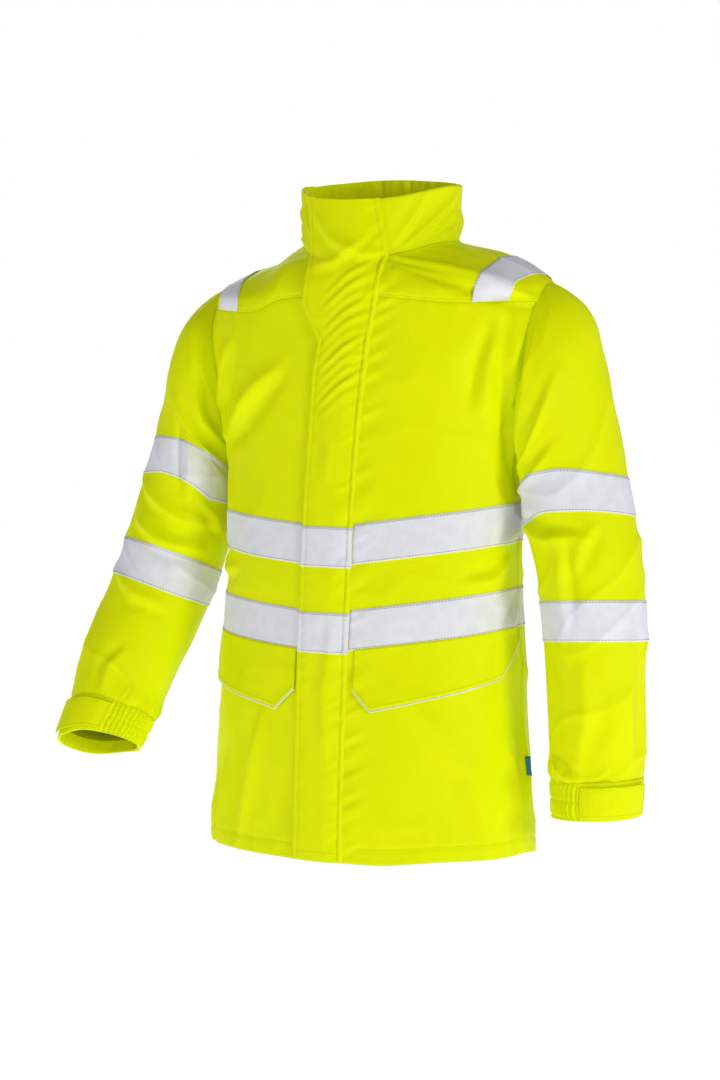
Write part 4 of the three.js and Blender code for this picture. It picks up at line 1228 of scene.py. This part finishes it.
def make_tab(name, sleeve, body):
    """The tab that closes the cuff, with its hook strip under it and the loop on the cuff."""
    turn = sleeve.cuff_turn
    middle = sleeve.cuff_top + CUFF_HEIGHT / 2

    def tab_place(angle, v, out):
        """v from -1 at the upper edge to 1 at the lower."""
        sewn = step(TAB_FROM + 2, TAB_FROM + 16, angle - turn)
        lift = mix(0.8, 3.2, sewn) + 1.4 + 0.35 * noise(angle / 9 + 70, v * 1.4)
        hemmed = -0.5 * bump(np.abs(v) - 0.84, 0.05)
        end = step(TAB_TO - 12, TAB_TO, angle - turn)
        return sleeve.skin(angle, middle + v * TAB_HEIGHT / 2 * (1 - 0.05 * end),
                           lift + hemmed + out)

    columns = spread([TAB_FROM + turn, TAB_TO + turn], 1.5)
    tab = cloth(f"cuff_tab_{name}", columns, np.linspace(-1, 1, 22), tab_place, OXFORD, 1.3)
    sew(tab, f"cuff_tab_{name}", "shell_fabric", f"cuff_tab_{name}")
    run = np.linspace(TAB_FROM + 3, TAB_TO - 3, 50) + turn
    ends = np.linspace(-0.84, 0.84, 16)
    lines = [line_on(tab_place, run, np.full(50, v)) for v in (-0.84, 0.84)]
    lines.append(line_on(tab_place, np.full(16, TAB_TO - 3 + turn), ends))
    lines.append(line_on(tab_place, np.full(16, TAB_FROM + 3 + turn), ends))
    stitches(f"cuff_tab_{name}_stitching", lines, f"cuff_tab_{name}")

    def strip(lift):
        return lambda angle, v, out: sleeve.skin(angle, middle + v * 14, lift + out)

    rows = np.linspace(-1, 1, 8)
    hook_and_loop(f"cuff_loop_{name}", spread([TAB_FROM + 26 + turn, TAB_TO - 4 + turn], 3),
                  rows, strip(1.0), body, rigid=True)
    hook_and_loop(f"cuff_hook_{name}", spread([TAB_TO - 38 + turn, TAB_TO - 4 + turn], 3),
                  rows, strip(2.4), f"cuff_tab_{name}")


# ------------------------------------------------------------------ zip, closures and insides
ZIP_BOTTOM, SLIDER = 17.0, 785.0
TOOTH_PITCH = 2.9
ZIP_DEPTH = -2.65              # of the zip's tapes from the body's surface


def on_front(x, level, out):
    return body_skin(angle_at(x, level), level, out)


def make_zip():
    for name, side in SIDES:
        edges = sorted((side * 2.2, side * 22))
        tape = cloth(f"zip_tape_{name}", spread(edges, 3), spread([ZIP_BOTTOM, SLIDER + 7], 6),
                     lambda x, v, out: on_front(x, v, ZIP_DEPTH + out), ZIP_TAPE, 0.8)
        sew(tape, "shell", "zip_tape", f"zip_tape_{name}")
        bm = bmesh.new()
        shift = 0 if side > 0 else TOOTH_PITCH / 2
        for level in np.arange(ZIP_BOTTOM + 2 + shift, SLIDER + 4, TOOTH_PITCH):
            place, above = (on_front(np.array(side * 1.3), np.array(at), ZIP_DEPTH - 0.45)
                            for at in (level, level + 1))
            up = above - place
            up /= np.linalg.norm(up)
            out = np.cross((1, 0, 0), up)
            axes = np.column_stack([(2.1, 0, 0), out * 1.15, up * 0.62]) * MM
            matrix = Matrix.Translation(to_row(place)) @ Matrix(axes.tolist()).to_4x4()
            made = bmesh.ops.create_cube(bm, size=2, matrix=matrix)
            edges_made = list({e for v in made["verts"] for e in v.link_edges})
            bmesh.ops.bevel(bm, geom=edges_made, offset=0.25 * MM, segments=1, profile=0.5,
                            affect="EDGES", material=-1)
        bmesh.ops.recalc_face_normals(bm, faces=bm.faces)
        chain = f"zip_chain_{name}"
        teeth = as_object(chain, mesh_from(chain, bm), ACETAL)
        sew(teeth, "shell", "zip", chain)


def make_closures():
    columns, levels = spread([-36, -20], 4), spread([30, YOKE_SEAM - 110], 8)

    def under_flap(x, level, out):
        share = (x - free_line(level)) / (seam_line(level) - free_line(level))
        return flap_place(share, level, out - 1.7)

    hook_and_loop("storm_flap_loop", columns, levels,
                  lambda x, v, out: on_body(angle_at(x, v), v, 0.9 + out), "shell")
    hook_and_loop("storm_flap_hook", columns, levels, under_flap, "storm_flap")
    for name, side in SIDES:
        columns = spread(sorted((36 * side, 48 * side)), 2)
        for kind, lift, body in (("loop", 1.0, "shell"), ("hook", 2.1, f"pocket_flap_{name}")):
            def pad(angle, v, out, lift=lift):
                return on_body(angle, pocket_bottom(angle) + 12 + v, lift + out)

            hook_and_loop(f"pocket_{kind}_{name}", columns, spread([0, 22], 4), pad, body)


def make_insides():
    """Lining, pocket bags, label and hanger loop."""
    def lining_place(u, level, out):
        edge = angle_at(25.0, level)
        angle = np.clip(u, edge, 360 - edge)
        drop = mix(5.6, 3.6, step(YOKE_SEAM, NECK_SEAM - 4, level))
        soft = 0.8 * noise(u / 6 + 80, level / 30)
        return body_skin(angle, level, soft - drop - 0.6 + body_relief(angle, level) - out)

    lining = cloth("body_lining", spread([8, 352], 2), spread([25, NECK_SEAM - 4], 8),
                   lining_place, TAFFETA, 0.5, drop=in_a_sleeve)
    sew(lining, "shell", "lining", "body_lining")
    bag_top = LOWER_TAPE - TAPE_WIDTH / 2 - 32
    for name, side in SIDES:
        columns = spread(sorted((24 * side, 60 * side)), 2)
        bag = cloth(f"pocket_bag_{name}", columns, spread([bag_top - 165, bag_top], 8),
                    lambda a, v, out: on_body(a, v, -2.6 - out), TAFFETA, 0.8)
        sew(bag, "shell", "lining", f"pocket_bag_{name}")

    def label_place(angle, level, out):
        fold = 0.9 * step(SEAM_ANGLE - 5, SEAM_ANGLE - 1, angle)
        return on_body(angle, level, 1.2 + fold + out)

    label = cloth("side_label", spread([SEAM_ANGLE - 5, SEAM_ANGLE - 0.8], 0.5),
                  spread([99, 124], 2), label_place, LABEL, 0.5)
    sew(label, "shell", "label", "side_label")

    low, high = (np.array(corner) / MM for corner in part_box("hanger_loop"))
    half, wide = (high[0] - low[0]) / 2, high[2] - low[2]

    def loop_place(share, v, out):
        """A strip of webbing, sewn at both ends and bowed off the collar."""
        y = mix(high[1] - 0.6, low[1], np.cos(share * math.pi / 2) ** 0.8)
        return np.stack([share * half, y - out, (low[2] + high[2]) / 2 + v * wide / 2 + 0 * y],
                        -1) - HEM_ORIGIN

    loop = cloth("hanger_loop", np.linspace(-1, 1, 41), np.linspace(-1, 1, 5), loop_place,
                 WEBBING, 1.0)
    sew(loop, "shell", "webbing", "hanger_loop")


def finish_cad_nodes():
    """The zip's slider, pull and retainer box keep their own shapes and get their plastic."""
    for name in ("zip_slider_front", "zip_slider_back", "zip_pull", "zip_retainer_box"):
        piece = frame["nodes"][name]
        piece.data.materials.clear()
        piece.data.materials.append(ACETAL)


# ------------------------------------------------------------------ seams' top stitching
def make_body_stitching():
    around = np.linspace(12, 348, 700)
    lines = [line_on(on_body, around, np.full(700, HEM_STITCH))]
    for side in (1, -1):
        angles = np.linspace(6, SEAM_ANGLE - 1, 160) * side
        share = np.full(160, 0.06)
        points, away = line_on(yoke_place, angles, share)
        keep = ~in_a_sleeve(points)
        lines.append((points[keep], away[keep]))
    stitches("body_topstitching", lines, "shell")


# ------------------------------------------------------------------ stage and light
FLOOR_LEVEL = -760.0           # millimetres, in the hem frame
FLOOR_RADIUS = 14.0            # metres


def area_light(name, azimuth, elevation, distance, size, power):
    data = bpy.data.lights.new(name, "AREA")
    data.shape = "DISK"
    data.size = size
    data.energy = power
    light = in_scene(name, data)
    away = direction(azimuth, elevation)
    light.location = to_row(CAMERA_AIM) + away * distance
    light.rotation_euler = Vector(away).to_track_quat("Z", "Y").to_euler()


def make_stage():
    bm = bmesh.new()
    bmesh.ops.create_circle(bm, cap_ends=True, segments=96, radius=FLOOR_RADIUS)
    bmesh.ops.translate(bm, verts=bm.verts, vec=(0, 0, to_row((0, 0, FLOOR_LEVEL))[2]))
    # Matt white painted floor, lit so evenly that it melts into the wall behind it.
    paint = finish("matt_white_floor", "#f0f0f0", 0.9, "#ececec", glow=0.86)
    as_object("floor", mesh_from("floor", bm), paint)
    world = bpy.data.worlds.new("studio")
    world.use_nodes = True
    tree = world.node_tree
    seen = node(tree, "LightPath")
    strength = node(tree, "MapRange", [(seen, "Is Camera Ray", "Value")], to_min=AMBIENT,
                    to_max=1.0)
    tree.links.new(strength.outputs["Result"], tree.nodes["Background"].inputs["Strength"])
    tree.nodes["Background"].inputs["Color"].default_value = (1, 1, 1, 1)
    bpy.context.scene.world = world
    bpy.context.scene.view_settings.view_transform = "Standard"
    area_light("key", 66, 9, 3.2, 0.8, 34)
    area_light("fill", -40, 4, 3.6, 2.4, 17)
    area_light("back", 215, 25, 3.2, 1.4, 17)


make_body()
make_collar()
make_storm_flap()
make_body_tapes()
make_shoulder_tapes()
make_pockets()
make_sleeve("left")
make_sleeve("right")
make_zip()
make_closures()
make_insides()
make_body_stitching()
finish_cad_nodes()
make_stage()
